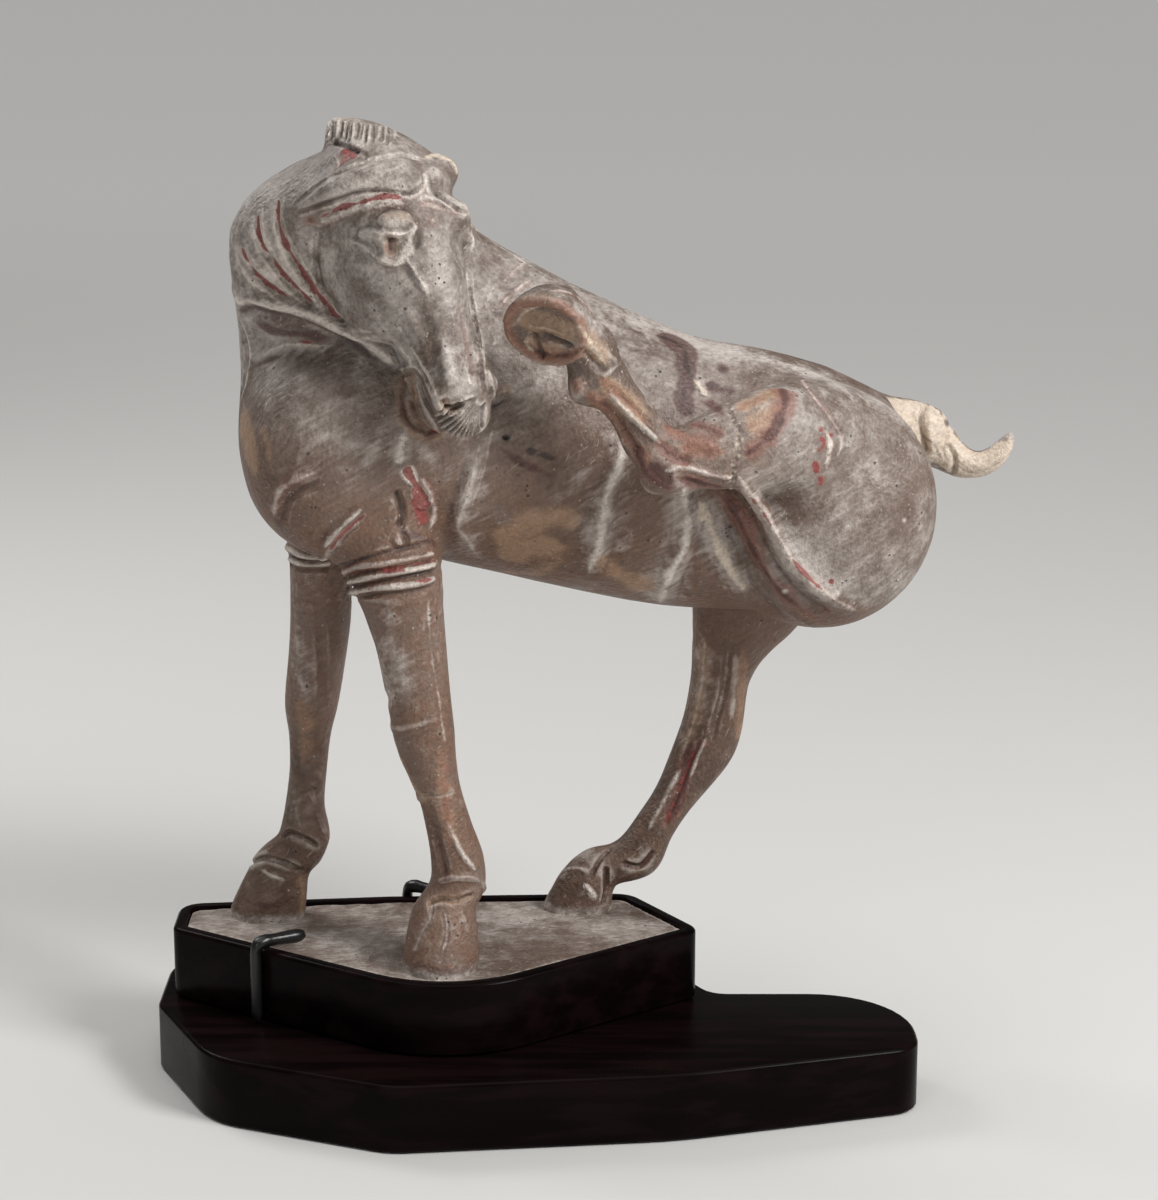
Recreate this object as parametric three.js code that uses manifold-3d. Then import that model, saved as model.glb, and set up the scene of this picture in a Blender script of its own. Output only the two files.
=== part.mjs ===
// A grey pottery horse on a fired clay slab. It turns its head back along its left side and lifts
// its left hind leg towards its muzzle. The slab sits in a hardwood stand of two boards, and two
// bent clips hold it down. Millimetres, +Z up. The origin is on the stand's underside.

import * as THREE from "three";
import { mergeVertices } from "three/addons/utils/BufferGeometryUtils.js";
import Module from "manifold-3d";

// Stand: a lower board (the plinth) that carries an upper board (the collar) with a recess.
const PLINTH_THICKNESS = 30.5;
const COLLAR_THICKNESS = 33;
const RIM_WIDTH = 5.5;
const RECESS_DEPTH = 13;
const PLINTH_LEDGE = 7.5;
const EDGE_ROUNDING = 1.2;
const GLUE_GAP = 0.3;

// Slab: the clay plate that was fired with the horse.
const SLAB_THICKNESS = 12;
const SLAB_CLEARANCE = 0.6;

// Clips: bent rods that hold the slab down.
const CLIP_RADIUS = 2.6;
const CLIP_REACH = 24;
// How many times thicker the rod is in its bend and at its flattened tip.
const CLIP_BEND = 1.45;
const CLIP_TIP = 1.3;

// Horse: its height above the slab. The stations below are millimetres for a figure of the
// modelled height whose hooves stand on the modelled floor.
const HORSE_HEIGHT = 366;
const MODELLED_HEIGHT = 366;
const MODELLED_FLOOR = 62.8;
const SCALE = HORSE_HEIGHT / MODELLED_HEIGHT;

const COLLAR_TOP = PLINTH_THICKNESS + COLLAR_THICKNESS;
const RECESS_FLOOR = COLLAR_TOP - RECESS_DEPTH;
const SLAB_BOTTOM = RECESS_FLOOR + GLUE_GAP;
const SLAB_TOP = SLAB_BOTTOM + SLAB_THICKNESS;

// Fineness of the modelled clay surface, how many triangles are kept of it, and how much a long
// edge counts against being kept whole.
const CELL = 3;
const HORSE_TRIANGLES = 8200;
const EVENNESS = 0.002;

const wasm = await Module();
wasm.setup();

// Directions that the forms are laid out by. The horse faces -X, and its left side faces -Y.
const SIDEWAYS = new THREE.Vector3(0, 1, 0);
const FORWARD = new THREE.Vector3(-1, 0, 0);
const UP = new THREE.Vector3(0, 0, 1);

/** Distance from a solid ellipsoid, given the offset from its centre along its own axes. */
function ellipsoidDistance(u, v, w, a, b, c) {
  const ua = u / a;
  const vb = v / b;
  const wc = w / c;
  const k0 = Math.sqrt(ua * ua + vb * vb + wc * wc);
  const k1 = Math.sqrt((ua / a) ** 2 + (vb / b) ** 2 + (wc / c) ** 2);
  return k1 < 1e-9 ? -Math.min(a, b, c) : (k0 * (k0 - 1)) / k1;
}

/** A box that reaches equally far from a centre every way. */
function boxAround(centre, reach) {
  return new THREE.Box3().setFromCenterAndSize(centre, new THREE.Vector3().setScalar(2 * reach));
}

/**
 * A limb of clay along a smooth route. Each station is [x, y, z, half width, half depth]: the half
 * width lies along the side direction and the half depth across it. The side may turn from its
 * first to its last value along the limb.
 */
function limb(sides, stations, { steps = 4, cap = 0.8 } = {}) {
  const [firstSide, lastSide] = Array.isArray(sides) ? sides : [sides, sides];
  const route = new THREE.CatmullRomCurve3(stations.map((s) => new THREE.Vector3(s[0], s[1], s[2])));
  const girth = new THREE.CatmullRomCurve3(stations.map((s) => new THREE.Vector3(s[3], s[4] ?? s[3], 0)));
  const count = (stations.length - 1) * steps;
  const knots = [];
  for (let i = 0; i <= count; i++) {
    const t = i / count;
    const tangent = route.getTangent(t);
    const side = firstSide.clone().lerp(lastSide, t);
    side.addScaledVector(tangent, -side.dot(tangent)).normalize();
    const size = girth.getPoint(t);
    const across = tangent.clone().cross(side);
    knots.push({ p: route.getPoint(t), side, across, a: size.x, b: size.y });
  }
  const parts = [];
  for (let i = 0; i < count; i++) {
    const k = knots[i];
    const m = knots[i + 1];
    const run = m.p.clone().sub(k.p);
    const length = run.length();
    parts.push({ k, m, run: run.divideScalar(length), length });
  }
  const box = new THREE.Box3();
  for (const k of knots) {
    box.union(boxAround(k.p, Math.max(k.a, k.b)));
  }
  const distance = (x, y, z) => {
    let best = Infinity;
    for (const { k, m, run, length } of parts) {
      const dx = x - k.p.x;
      const dy = y - k.p.y;
      const dz = z - k.p.z;
      const along = dx * run.x + dy * run.y + dz * run.z;
      const t = Math.min(1, Math.max(0, along / length));
      const a = k.a + (m.a - k.a) * t;
      const b = k.b + (m.b - k.b) * t;
      const far = dx * dx + dy * dy + dz * dz;
      const reach = best + Math.max(a, b, m.a, m.b) + length;
      if (best < Infinity && reach > 0 && far > reach * reach) continue;
      const ox = dx - run.x * length * t;
      const oy = dy - run.y * length * t;
      const oz = dz - run.z * length * t;
      const sx = k.side.x + (m.side.x - k.side.x) * t;
      const sy = k.side.y + (m.side.y - k.side.y) * t;
      const sz = k.side.z + (m.side.z - k.side.z) * t;
      const cx = k.across.x + (m.across.x - k.across.x) * t;
      const cy = k.across.y + (m.across.y - k.across.y) * t;
      const cz = k.across.z + (m.across.z - k.across.z) * t;
      const u = ox * sx + oy * sy + oz * sz;
      const v = ox * cx + oy * cy + oz * cz;
      const w = ox * run.x + oy * run.y + oz * run.z;
      best = Math.min(best, ellipsoidDistance(u, v, w, a, b, cap * Math.min(a, b)));
    }
    return best;
  };
  return { box, distance };
}

/** A lump of clay: an ellipsoid, with half sizes along two given directions and their normal. */
function lump(centre, [a, b, c], first = new THREE.Vector3(1, 0, 0), second = new THREE.Vector3(0, 1, 0)) {
  const u = first.clone().normalize();
  const v = second.clone().addScaledVector(u, -second.dot(u)).normalize();
  const w = u.clone().cross(v);
  const [x0, y0, z0] = centre;
  const box = boxAround(new THREE.Vector3(x0, y0, z0), Math.max(a, b, c));
  const distance = (x, y, z) => {
    const dx = x - x0;
    const dy = y - y0;
    const dz = z - z0;
    return ellipsoidDistance(
      dx * u.x + dy * u.y + dz * u.z,
      dx * v.x + dy * v.y + dz * v.z,
      dx * w.x + dy * w.y + dz * w.z,
      a,
      b,
      c,
    );
  };
  return { box, distance };
}

/** Clay that is built up by adding and cutting forms, each blended over its own width. */
class Clay {
  constructor() {
    this.moves = [];
    this.box = new THREE.Box3();
  }

  add(form, blend = 6) {
    this.moves.push({ form, blend, sign: 1 });
    this.box.union(form.box);
    return this;
  }

  cut(form, blend = 3) {
    this.moves.push({ form, blend, sign: -1 });
    return this;
  }

  distance(x, y, z) {
    let d = Infinity;
    for (const { form, blend, sign } of this.moves) {
      const { min, max } = form.box;
      const gx = Math.max(min.x - x, 0, x - max.x);
      const gy = Math.max(min.y - y, 0, y - max.y);
      const gz = Math.max(min.z - z, 0, z - max.z);
      const gap = Math.sqrt(gx * gx + gy * gy + gz * gz);
      if (gap > blend + d * sign && d < Infinity) continue;
      const f = form.distance(x, y, z) * sign;
      if (sign < 0 && d === Infinity) continue;
      const h = d === Infinity ? 0 : Math.max(blend - Math.abs(d - f), 0) / blend;
      d = sign > 0 ? Math.min(d, f) - (h * h * blend) / 4 : Math.max(d, f) + (h * h * blend) / 4;
    }
    return d;
  }
}

/** The surface of the clay as a closed mesh, by marching tetrahedra on a grid. */
function skin(clay, cell) {
  const low = clay.box.min.clone().subScalar(2 * cell);
  const size = clay.box.max.clone().addScalar(2 * cell).sub(low);
  const [nx, ny, nz] = size.toArray().map((length) => Math.ceil(length / cell) + 1);
  // A value this near to zero is moved off it, so that no crossing falls on a corner of the grid.
  const least = 0.02 * cell;
  const values = new Float32Array(nx * ny * nz).fill(NaN);
  const at = (i, j, k) => (k * ny + j) * nx + i;
  const value = (i, j, k) => {
    const n = at(i, j, k);
    if (Number.isNaN(values[n])) {
      const d = clay.distance(low.x + i * cell, low.y + j * cell, low.z + k * cell);
      values[n] = d < 0 ? Math.min(d, -least) : Math.max(d, least);
    }
    return values[n];
  };
  // The grid is searched in blocks. One whose middle is farther from the skin than its half
  // diagonal, with half as much again for the blends, holds none of it.
  const block = 6;
  const reach = (1.5 * Math.sqrt(3) * block * cell) / 2 + cell;
  const points = [];
  const triangles = [];
  const found = new Map();
  const corner = (i, j, k, m) => [i + (m & 1), j + ((m >> 1) & 1), k + ((m >> 2) & 1)];
  const crossing = (p, q) => {
    const [a, b] = at(...p) < at(...q) ? [p, q] : [q, p];
    const kind = (b[0] - a[0]) + 2 * (b[1] - a[1]) + 4 * (b[2] - a[2]);
    const key = at(...a) * 8 + kind;
    let n = found.get(key);
    if (n === undefined) {
      let [near, far] = [0, 1];
      let [va, vb] = [value(...a), value(...b)];
      const length = cell * Math.hypot(b[0] - a[0], b[1] - a[1], b[2] - a[2]);
      const spot = (t) => a.map((s, c) => low.getComponent(c) + (s + (b[c] - s) * t) * cell);
      // Where the distance jumps along an edge, the crossing is closed in on by halves.
      const steps = Math.abs(va - vb) > 1.25 * length ? 6 : 1;
      for (let step = 0; step < steps; step++) {
        const t = steps > 1 ? (near + far) / 2 : near + ((far - near) * va) / (va - vb);
        const v = clay.distance(...spot(t));
        if (v < 0 === va < 0) [near, va] = [t, v];
        else [far, vb] = [t, v];
      }
      n = points.length / 3;
      points.push(...spot(near + ((far - near) * va) / (va - vb)));
      found.set(key, n);
    }
    return n;
  };
  const face = (a, b, c, inner) => {
    const p = (n) => new THREE.Vector3(points[3 * n], points[3 * n + 1], points[3 * n + 2]);
    const [pa, pb, pc] = [p(a), p(b), p(c)];
    const normal = pb.sub(pa).cross(pc.sub(pa));
    const inside = new THREE.Vector3(...inner).multiplyScalar(cell).add(low);
    if (normal.dot(pa.sub(inside)) > 0) triangles.push(a, b, c);
    else triangles.push(a, c, b);
  };
  const paths = [[1, 2], [1, 4], [2, 1], [2, 4], [4, 1], [4, 2]];
  const march = (i, j, k) => {
    let below = 0;
    for (let m = 0; m < 8; m++) below += value(...corner(i, j, k, m)) < 0 ? 1 : 0;
    if (below === 0 || below === 8) return;
    for (const [first, second] of paths) {
      const tet = [0, first, first + second, 7].map((m) => corner(i, j, k, m));
      const inside = tet.filter((p) => value(...p) < 0);
      const outside = tet.filter((p) => value(...p) >= 0);
      if (inside.length === 1) {
        face(...outside.map((q) => crossing(inside[0], q)), inside[0]);
      } else if (inside.length === 3) {
        face(...inside.map((q) => crossing(q, outside[0])), inside[0]);
      } else if (inside.length === 2) {
        const [p, q] = inside;
        const [r, s] = outside;
        const ring = [crossing(p, r), crossing(p, s), crossing(q, s), crossing(q, r)];
        face(ring[0], ring[1], ring[2], p);
        face(ring[0], ring[2], ring[3], p);
      }
    }
  };
  const marchBlock = (i, j, k) => {
    const middle = [i, j, k].map((n, c) => low.getComponent(c) + (n + block / 2) * cell);
    if (Math.abs(clay.distance(...middle)) > reach) return;
    for (let kk = k; kk < Math.min(k + block, nz - 1); kk++) {
      for (let jj = j; jj < Math.min(j + block, ny - 1); jj++) {
        for (let ii = i; ii < Math.min(i + block, nx - 1); ii++) march(ii, jj, kk);
      }
    }
  };
  for (let k = 0; k < nz - 1; k += block) {
    for (let j = 0; j < ny - 1; j += block) {
      for (let i = 0; i < nx - 1; i += block) marchBlock(i, j, k);
    }
  }
  return { points, triangles };
}

/** Thins a closed mesh to a number of triangles by collapsing the edges that change its form least. */
function thin(mesh, keep) {
  const points = Float64Array.from(mesh.points);
  const faces = Int32Array.from(mesh.triangles);
  const count = points.length / 3;
  const around = Array.from({ length: count }, () => []);
  for (let k = 0; k < faces.length; k++) around[faces[k]].push(Math.floor(k / 3));
  const normal = new Float64Array(3);
  const measure = (ax, ay, az, b, c) => {
    const [ux, uy, uz] = [points[b] - ax, points[b + 1] - ay, points[b + 2] - az];
    const [vx, vy, vz] = [points[c] - ax, points[c + 1] - ay, points[c + 2] - az];
    normal[0] = uy * vz - uz * vy;
    normal[1] = uz * vx - ux * vz;
    normal[2] = ux * vy - uy * vx;
    return Math.sqrt(normal[0] ** 2 + normal[1] ** 2 + normal[2] ** 2);
  };
  const quadrics = new Float64Array(10 * count);
  for (let f = 0; f < faces.length; f += 3) {
    const [a, b, c] = [3 * faces[f], 3 * faces[f + 1], 3 * faces[f + 2]];
    const size = measure(points[a], points[a + 1], points[a + 2], b, c) || 1e-12;
    const [x, y, z] = [normal[0] / size, normal[1] / size, normal[2] / size];
    const w = -(x * points[a] + y * points[a + 1] + z * points[a + 2]);
    const q = [x * x, x * y, x * z, x * w, y * y, y * z, y * w, z * z, z * w, w * w];
    for (let corner = 0; corner < 3; corner++) {
      for (let i = 0; i < 10; i++) quadrics[10 * faces[f + corner] + i] += q[i] * size;
    }
  }
  const q = new Float64Array(10);
  const errorAt = (x, y, z) =>
    q[0] * x * x + 2 * q[1] * x * y + 2 * q[2] * x * z + 2 * q[3] * x + q[4] * y * y +
    2 * q[5] * y * z + 2 * q[6] * y + q[7] * z * z + 2 * q[8] * z + q[9];
  const place = (a, b) => {
    for (let i = 0; i < 10; i++) q[i] = quadrics[10 * a + i] + quadrics[10 * b + i];
    const [xx, xy, xz, xw, yy, yz, yw, zz, zw] = q;
    const det = xx * (yy * zz - yz * yz) - xy * (xy * zz - yz * xz) + xz * (xy * yz - yy * xz);
    const [ax, ay, az] = [points[3 * a], points[3 * a + 1], points[3 * a + 2]];
    const [bx, by, bz] = [points[3 * b], points[3 * b + 1], points[3 * b + 2]];
    const span = (ax - bx) ** 2 + (ay - by) ** 2 + (az - bz) ** 2;
    let [x, y, z] = [(ax + bx) / 2, (ay + by) / 2, (az + bz) / 2];
    if (Math.abs(det) > 1e-6 * (xx + yy + zz) ** 3) {
      const px = xw * (yy * zz - yz * yz) - xy * (yw * zz - yz * zw) + xz * (yw * yz - yy * zw);
      const py = xx * (yw * zz - yz * zw) - xw * (xy * zz - yz * xz) + xz * (xy * zw - yw * xz);
      const pz = xx * (yy * zw - yw * yz) - xy * (xy * zw - yw * xz) + xw * (xy * yz - yy * xz);
      const best = [-px / det, -py / det, -pz / det];
      const moved = (best[0] - x) ** 2 + (best[1] - y) ** 2 + (best[2] - z) ** 2;
      if (moved < 4 * span) [x, y, z] = best;
    }
    const error = errorAt(x, y, z) + EVENNESS * span;
    return { error, x, y, z, a, b, ageA: age[a], ageB: age[b] };
  };
  const heap = [];
  const push = (entry) => {
    let i = heap.length;
    heap.push(entry);
    while (i > 0) {
      const parent = (i - 1) >> 1;
      if (heap[parent].error <= entry.error) break;
      heap[i] = heap[parent];
      i = parent;
    }
    heap[i] = entry;
  };
  const pop = () => {
    const top = heap[0];
    const entry = heap.pop();
    if (!heap.length) return top;
    let i = 0;
    for (;;) {
      let child = 2 * i + 1;
      if (child >= heap.length) break;
      if (child + 1 < heap.length && heap[child + 1].error < heap[child].error) child += 1;
      if (heap[child].error >= entry.error) break;
      heap[i] = heap[child];
      i = child;
    }
    heap[i] = entry;
    return top;
  };
  const age = new Int32Array(count);
  const neighbours = (v) => {
    const seen = new Set(around[v].flatMap((f) => [faces[3 * f], faces[3 * f + 1], faces[3 * f + 2]]));
    seen.delete(v);
    return seen;
  };
  const flips = (v, other, to) => {
    for (const f of around[v]) {
      const spot = [faces[3 * f], faces[3 * f + 1], faces[3 * f + 2]];
      if (spot.includes(other)) continue;
      while (spot[0] !== v) spot.push(spot.shift());
      const [b, c] = [3 * spot[1], 3 * spot[2]];
      const before = measure(points[3 * v], points[3 * v + 1], points[3 * v + 2], b, c);
      const [nx, ny, nz] = normal;
      const after = measure(to.x, to.y, to.z, b, c);
      if (nx * normal[0] + ny * normal[1] + nz * normal[2] < 0.25 * before * after) return true;
    }
    return false;
  };
  for (let v = 0; v < count; v++) {
    for (const n of neighbours(v)) {
      if (n > v) push(place(v, n));
    }
  }
  let left = faces.length / 3;
  while (left > keep && heap.length) {
    const best = pop();
    const { a, b } = best;
    if (age[a] !== best.ageA || age[b] !== best.ageB) continue;
    const nearA = neighbours(a);
    let shared = 0;
    for (const n of neighbours(b)) if (nearA.has(n)) shared += 1;
    if (shared !== 2 || flips(a, b, best) || flips(b, a, best)) continue;
    [points[3 * a], points[3 * a + 1], points[3 * a + 2]] = [best.x, best.y, best.z];
    for (let i = 0; i < 10; i++) quadrics[10 * a + i] += quadrics[10 * b + i];
    for (const f of around[b]) {
      const spot = [faces[3 * f], faces[3 * f + 1], faces[3 * f + 2]];
      if (spot.includes(a)) {
        for (const v of spot) {
          if (v !== b) around[v].splice(around[v].indexOf(f), 1);
        }
        faces[3 * f] = -1;
        left -= 1;
      } else {
        faces[3 * f + spot.indexOf(b)] = a;
        around[a].push(f);
      }
    }
    around[b] = [];
    age[a] += 1;
    age[b] = -1;
    for (const n of neighbours(a)) push(place(Math.min(a, n), Math.max(a, n)));
  }
  const triangles = [];
  for (let k = 0; k < faces.length; k += 3) {
    if (faces[k] >= 0) triangles.push(...faces.slice(k, k + 3));
  }
  return { points: Array.from(points), triangles };
}

/** A point or direction as a THREE.Vector3. */
const vec = (x, y, z) => new THREE.Vector3(x, y, z);

// The head hangs from the poll. Its own directions are down the nose, out of the face, and
// towards its right cheek, which is the side that shows.
const POLL = vec(-64, 1, 401);
const DOWN_NOSE = vec(0.28, -0.12, -0.95).normalize();
const FACE = vec(0.58, -0.8, 0.1);
const OUT_OF_FACE = FACE.clone().addScaledVector(DOWN_NOSE, -FACE.dot(DOWN_NOSE)).normalize();
const TO_CHEEK = DOWN_NOSE.clone().cross(OUT_OF_FACE).normalize();

/** A point on the head from its distances down the nose, out of the face and to the right cheek. */
function onHead(down, out, cheek = 0) {
  return POLL.clone()
    .addScaledVector(DOWN_NOSE, down)
    .addScaledVector(OUT_OF_FACE, out)
    .addScaledVector(TO_CHEEK, cheek)
    .toArray();
}

/** A lump on the head, with its half sizes down the nose, out of the face and across it. */
const headLump = (down, out, cheek, sizes) =>
  lump(onHead(down, out, cheek), sizes, DOWN_NOSE, OUT_OF_FACE);

/** The point of the clay's surface that is met from 30 mm in front of a mark, going towards it. */
function settle(clay, mark, towards) {
  const point = vec(...mark).addScaledVector(towards, -30);
  for (let step = 0; step < 80; step++) {
    const d = clay.distance(point.x, point.y, point.z);
    if (d < 0.05) break;
    point.addScaledVector(towards, 0.8 * d);
  }
  return point;
}

/** A stroke along marks on the surface. Its centre line stands proud of the surface by a lift. */
function stroke(clay, marks, radius, lift, towards = SIDEWAYS) {
  const way = towards.clone().normalize();
  const last = marks.length - 1;
  const stations = marks.map((mark, i) => {
    const end = i === 0 || i === last ? 0.5 : 1;
    const centre = settle(clay, mark, way).addScaledVector(way, -lift);
    return [...centre.toArray(), radius * end, radius * end];
  });
  return limb(way, stations);
}

/** The barrel of the body, its breast, both shoulders and the withers. */
function modelTrunk(clay) {
  clay.add(limb(SIDEWAYS, [
    [-90, 38, 288, 36, 38],
    [-66, 44, 293, 45, 50],
    [-40, 51, 294, 48, 60],
    [-14, 57, 290, 49, 63],
    [12, 60, 282, 49, 62],
    [36, 63, 274, 49, 60],
    [60, 66, 268, 48, 59],
    [84, 68, 265, 47, 58],
    [110, 70, 261, 44, 55],
    [132, 72, 258, 38, 48],
  ]));
  clay.add(limb([vec(0, 1, 0), vec(0, 1, 0)], [
    [-60, 52, 350, 24, 34],
    [-30, 56, 339, 20, 32],
    [4, 58, 319, 20, 28],
    [40, 60, 300, 22, 27],
  ]), 16);
  clay.add(lump([-98, 36, 279], [27, 33, 34]), 14);
  clay.add(lump([-84, 18, 284], [32, 24, 44]), 12);
  clay.add(lump([-84, 66, 284], [30, 22, 44]), 12);
}

/** The neck and the crest that carries the mane. */
function modelNeck(clay) {
  clay.add(limb([vec(0.15, 1, 0), vec(-0.45, 0.85, 0)], [
    [-70, 48, 296, 40, 56],
    [-73, 46, 330, 36, 54],
    [-77, 41, 356, 32, 51],
    [-78, 30, 376, 29, 50],
    [-73, 18, 387, 26, 35],
    [-66, 8, 396, 21, 24],
  ]), 14);
}

/** The near haunch, and the far haunch behind it. */
function modelHaunches(clay) {
  clay.add(lump([120, 41, 258], [50, 34, 53]), 10);
  clay.add(lump([124, 96, 250], [42, 28, 46]), 14);
}

/** A hoof that stands on the slab: a limb from the coronet down and out to its worn edge. */
const hoof = (stations) => limb(SIDEWAYS, stations, { cap: 0.2 });

/** The standing fore and hind legs. */
function modelStandingLegs(clay) {
  clay.add(limb(SIDEWAYS, [
    [-66, 20, 252, 20, 22],
    [-61, 17, 238, 19, 20],
    [-57, 15, 220, 16.5, 17],
    [-54, 14, 203, 14.5, 15],
    [-51, 13, 181, 13.6, 13.6],
    [-49, 12, 166, 13.5, 13.4],
    [-46, 12, 153, 11.5, 11],
    [-42, 11, 138, 9.5, 9.2],
    [-38, 11, 122, 9.5, 10],
    [-35, 11, 109, 11, 11.6],
    [-35, 12, 99, 11.5, 12],
    [-38, 12, 91, 10.5, 10.5],
  ]), 6);
  clay.add(hoof([
    [-38, 11, 94, 11, 10.5],
    [-41, 9, 85, 14.5, 14.5],
    [-42, 8, 74, 16.5, 16],
    [-43, 7, 58, 18, 17],
  ]), 2);
  clay.add(limb(SIDEWAYS, [
    [-92, 58, 248, 19, 19],
    [-95, 60, 228, 16, 14],
    [-96, 62, 206, 14, 13.5],
    [-98, 64, 188, 13.5, 12.8],
    [-100, 67, 175, 13, 12.5],
    [-102, 69, 162, 12.5, 12],
    [-103, 71, 148, 10, 9.2],
    [-104, 71, 131, 8.5, 8.3],
    [-106, 71, 115, 9, 8.7],
    [-106, 71, 101, 9.5, 11.5],
    [-108, 71, 92, 9, 10],
  ]), 6);
  clay.add(hoof([
    [-111, 71, 93, 8.5, 11],
    [-118, 71, 84, 10, 13.5],
    [-121, 71, 73, 10.5, 15.5],
    [-125, 71, 60, 10.8, 17.5],
  ]), 2);
  clay.add(limb(SIDEWAYS, [
    [104, 92, 228, 24, 32],
    [92, 89, 205, 18, 26],
    [84, 88, 185, 15, 17],
    [80, 88, 167, 13, 13],
    [78, 89, 150, 13.5, 13.5],
    [75, 90, 139, 12.5, 14],
    [68, 89, 126, 10, 12],
    [58, 87, 110, 9, 9.2],
    [50, 85, 98, 9, 9.5],
    [44, 84, 87, 10, 11],
    [34, 83, 83, 9, 9.5],
    [26, 83, 81, 9, 10],
  ]), 6);
  clay.add(hoof([
    [28, 82, 83, 8.5, 10],
    [21, 81, 76, 9.6, 12.5],
    [16, 80.5, 60, 9.8, 16.5],
  ]), 2);
}

/** The lifted hind leg: gaskin, hock, cannon, fetlock and a hoof that shows its sole. */
function modelLiftedLeg(clay) {
  clay.add(limb(UP, [
    [112, 24, 288, 28, 24],
    [98, 8, 294, 22, 18],
    [81, -3, 293, 19, 15],
    [66, -8, 290, 14.5, 12.5],
    [54, -11, 287, 13, 11],
  ]), 10);
  clay.add(limb(vec(0.3, -1, 0), [
    [52, -11, 283, 9.5, 11],
    [47, -13, 293, 10, 10.5],
    [40, -14, 306, 9, 9],
    [34, -14, 314, 9, 8.8],
    [27, -14, 322, 11, 11],
    [23, -14, 329, 11, 11],
    [22, -15, 336, 10.5, 10.5],
  ]), 6);
  clay.add(lump([19, -16, 319], [7, 8, 7]), 4);
  const sole = vec(3, -29, 344);
  const outOfSole = vec(-0.3, -0.84, -0.46).normalize();
  const behind = (depth) => sole.clone().addScaledVector(outOfSole, -depth).toArray();
  clay.add(limb(vec(1, 0, -0.6), [
    [22, -15, 336, 10, 10],
    [...behind(13), 12, 12],
    [...behind(8), 15.5, 15.5],
    [...behind(0), 18, 18],
  ]), 3);
  clay.cut(lump(behind(-37.5), [40, 40, 40]), 2);
}

/** The docked tail, bound with a knot and turned up at its tip. */
function modelTail(clay) {
  clay.add(limb(SIDEWAYS, [
    [138, 80, 288, 12, 13],
    [154, 86, 287, 10, 11],
    [167, 89, 283, 9, 11.5],
    [176, 90, 275, 8.5, 10],
    [187, 89, 267, 7.5, 6.8],
    [197, 87, 268, 6, 5.6],
    [204, 86, 275, 4.5, 4.6],
    [207, 85, 281, 2.6, 2.6],
  ]), 5);
  clay.add(lump([172, 89, 279], [5, 11, 13], vec(1, 0, -0.3)), 3);
}

/** The head: skull, brows, eyes, cheeks, nose, nostrils, lips and chin. */
function modelHead(clay) {
  clay.add(limb(TO_CHEEK, [
    [...onHead(-4, -3), 20, 20],
    [...onHead(10, 1), 24, 24],
    [...onHead(26, 2), 24, 28],
    [...onHead(44, 4), 20, 26],
    [...onHead(62, 8), 15.5, 19],
    [...onHead(80, 12), 12.5, 14.5],
    [...onHead(93, 13), 12, 12.5],
    [...onHead(101, 12), 11, 10.5],
  ]), 8);
  for (const side of [-1, 1]) {
    clay.add(headLump(38, -10, 13 * side, [25, 23, 11]), 6);
    clay.add(headLump(23, 23, 14 * side, [8, 7, 9]), 5);
    clay.cut(headLump(33, 29, 15 * side, [6, 6, 7]), 4);
    clay.add(headLump(30, 20, 18 * side, [5, 5, 5]), 2);
    clay.add(headLump(83, 20, 7 * side, [13, 7, 5]), 4);
    clay.add(headLump(91, 18, 12 * side, [5, 5, 4]), 3);
    clay.cut(headLump(95, 24, 10 * side, [3.6, 5, 3.6]), 2);
  }
  clay.add(limb(TO_CHEEK, [
    [...onHead(58, -8), 10, 9],
    [...onHead(76, -6), 9.5, 8.5],
    [...onHead(90, -4), 11, 10.5],
    [...onHead(99, -3), 8, 8],
  ]), 3);
  clay.cut(headLump(89, -1, 15, [10, 5, 6]), 1.5);
}

/** The mane: a clipped stub over the poll and the forelock swept to both sides under it. */
function modelMane(clay) {
  clay.add(limb(UP, [
    [-81, 14, 409, 17, 9],
    [-71, 12, 410, 15, 10],
    [-57, 9, 407, 12, 12],
    [-46, 5, 402, 10, 12],
  ], { cap: 0.5 }), 2);
  clay.add(lump([-38, 4, 404], [7, 7, 7]), 2);
  clay.add(stroke(clay, [
    onHead(8, -14, 40),
    onHead(0, 0, 36),
    onHead(-2, 14, 24),
    onHead(0, 26, 8),
    onHead(4, 28, -6),
  ], 7, -3, vec(0.1, 1, -0.2)), 2);
  clay.add(stroke(clay, [
    onHead(3, 28, -2),
    onHead(8, 26, -14),
    onHead(14, 20, -26),
  ], 7, -3, vec(-0.6, 0.8, -0.2)), 2);
}

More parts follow.
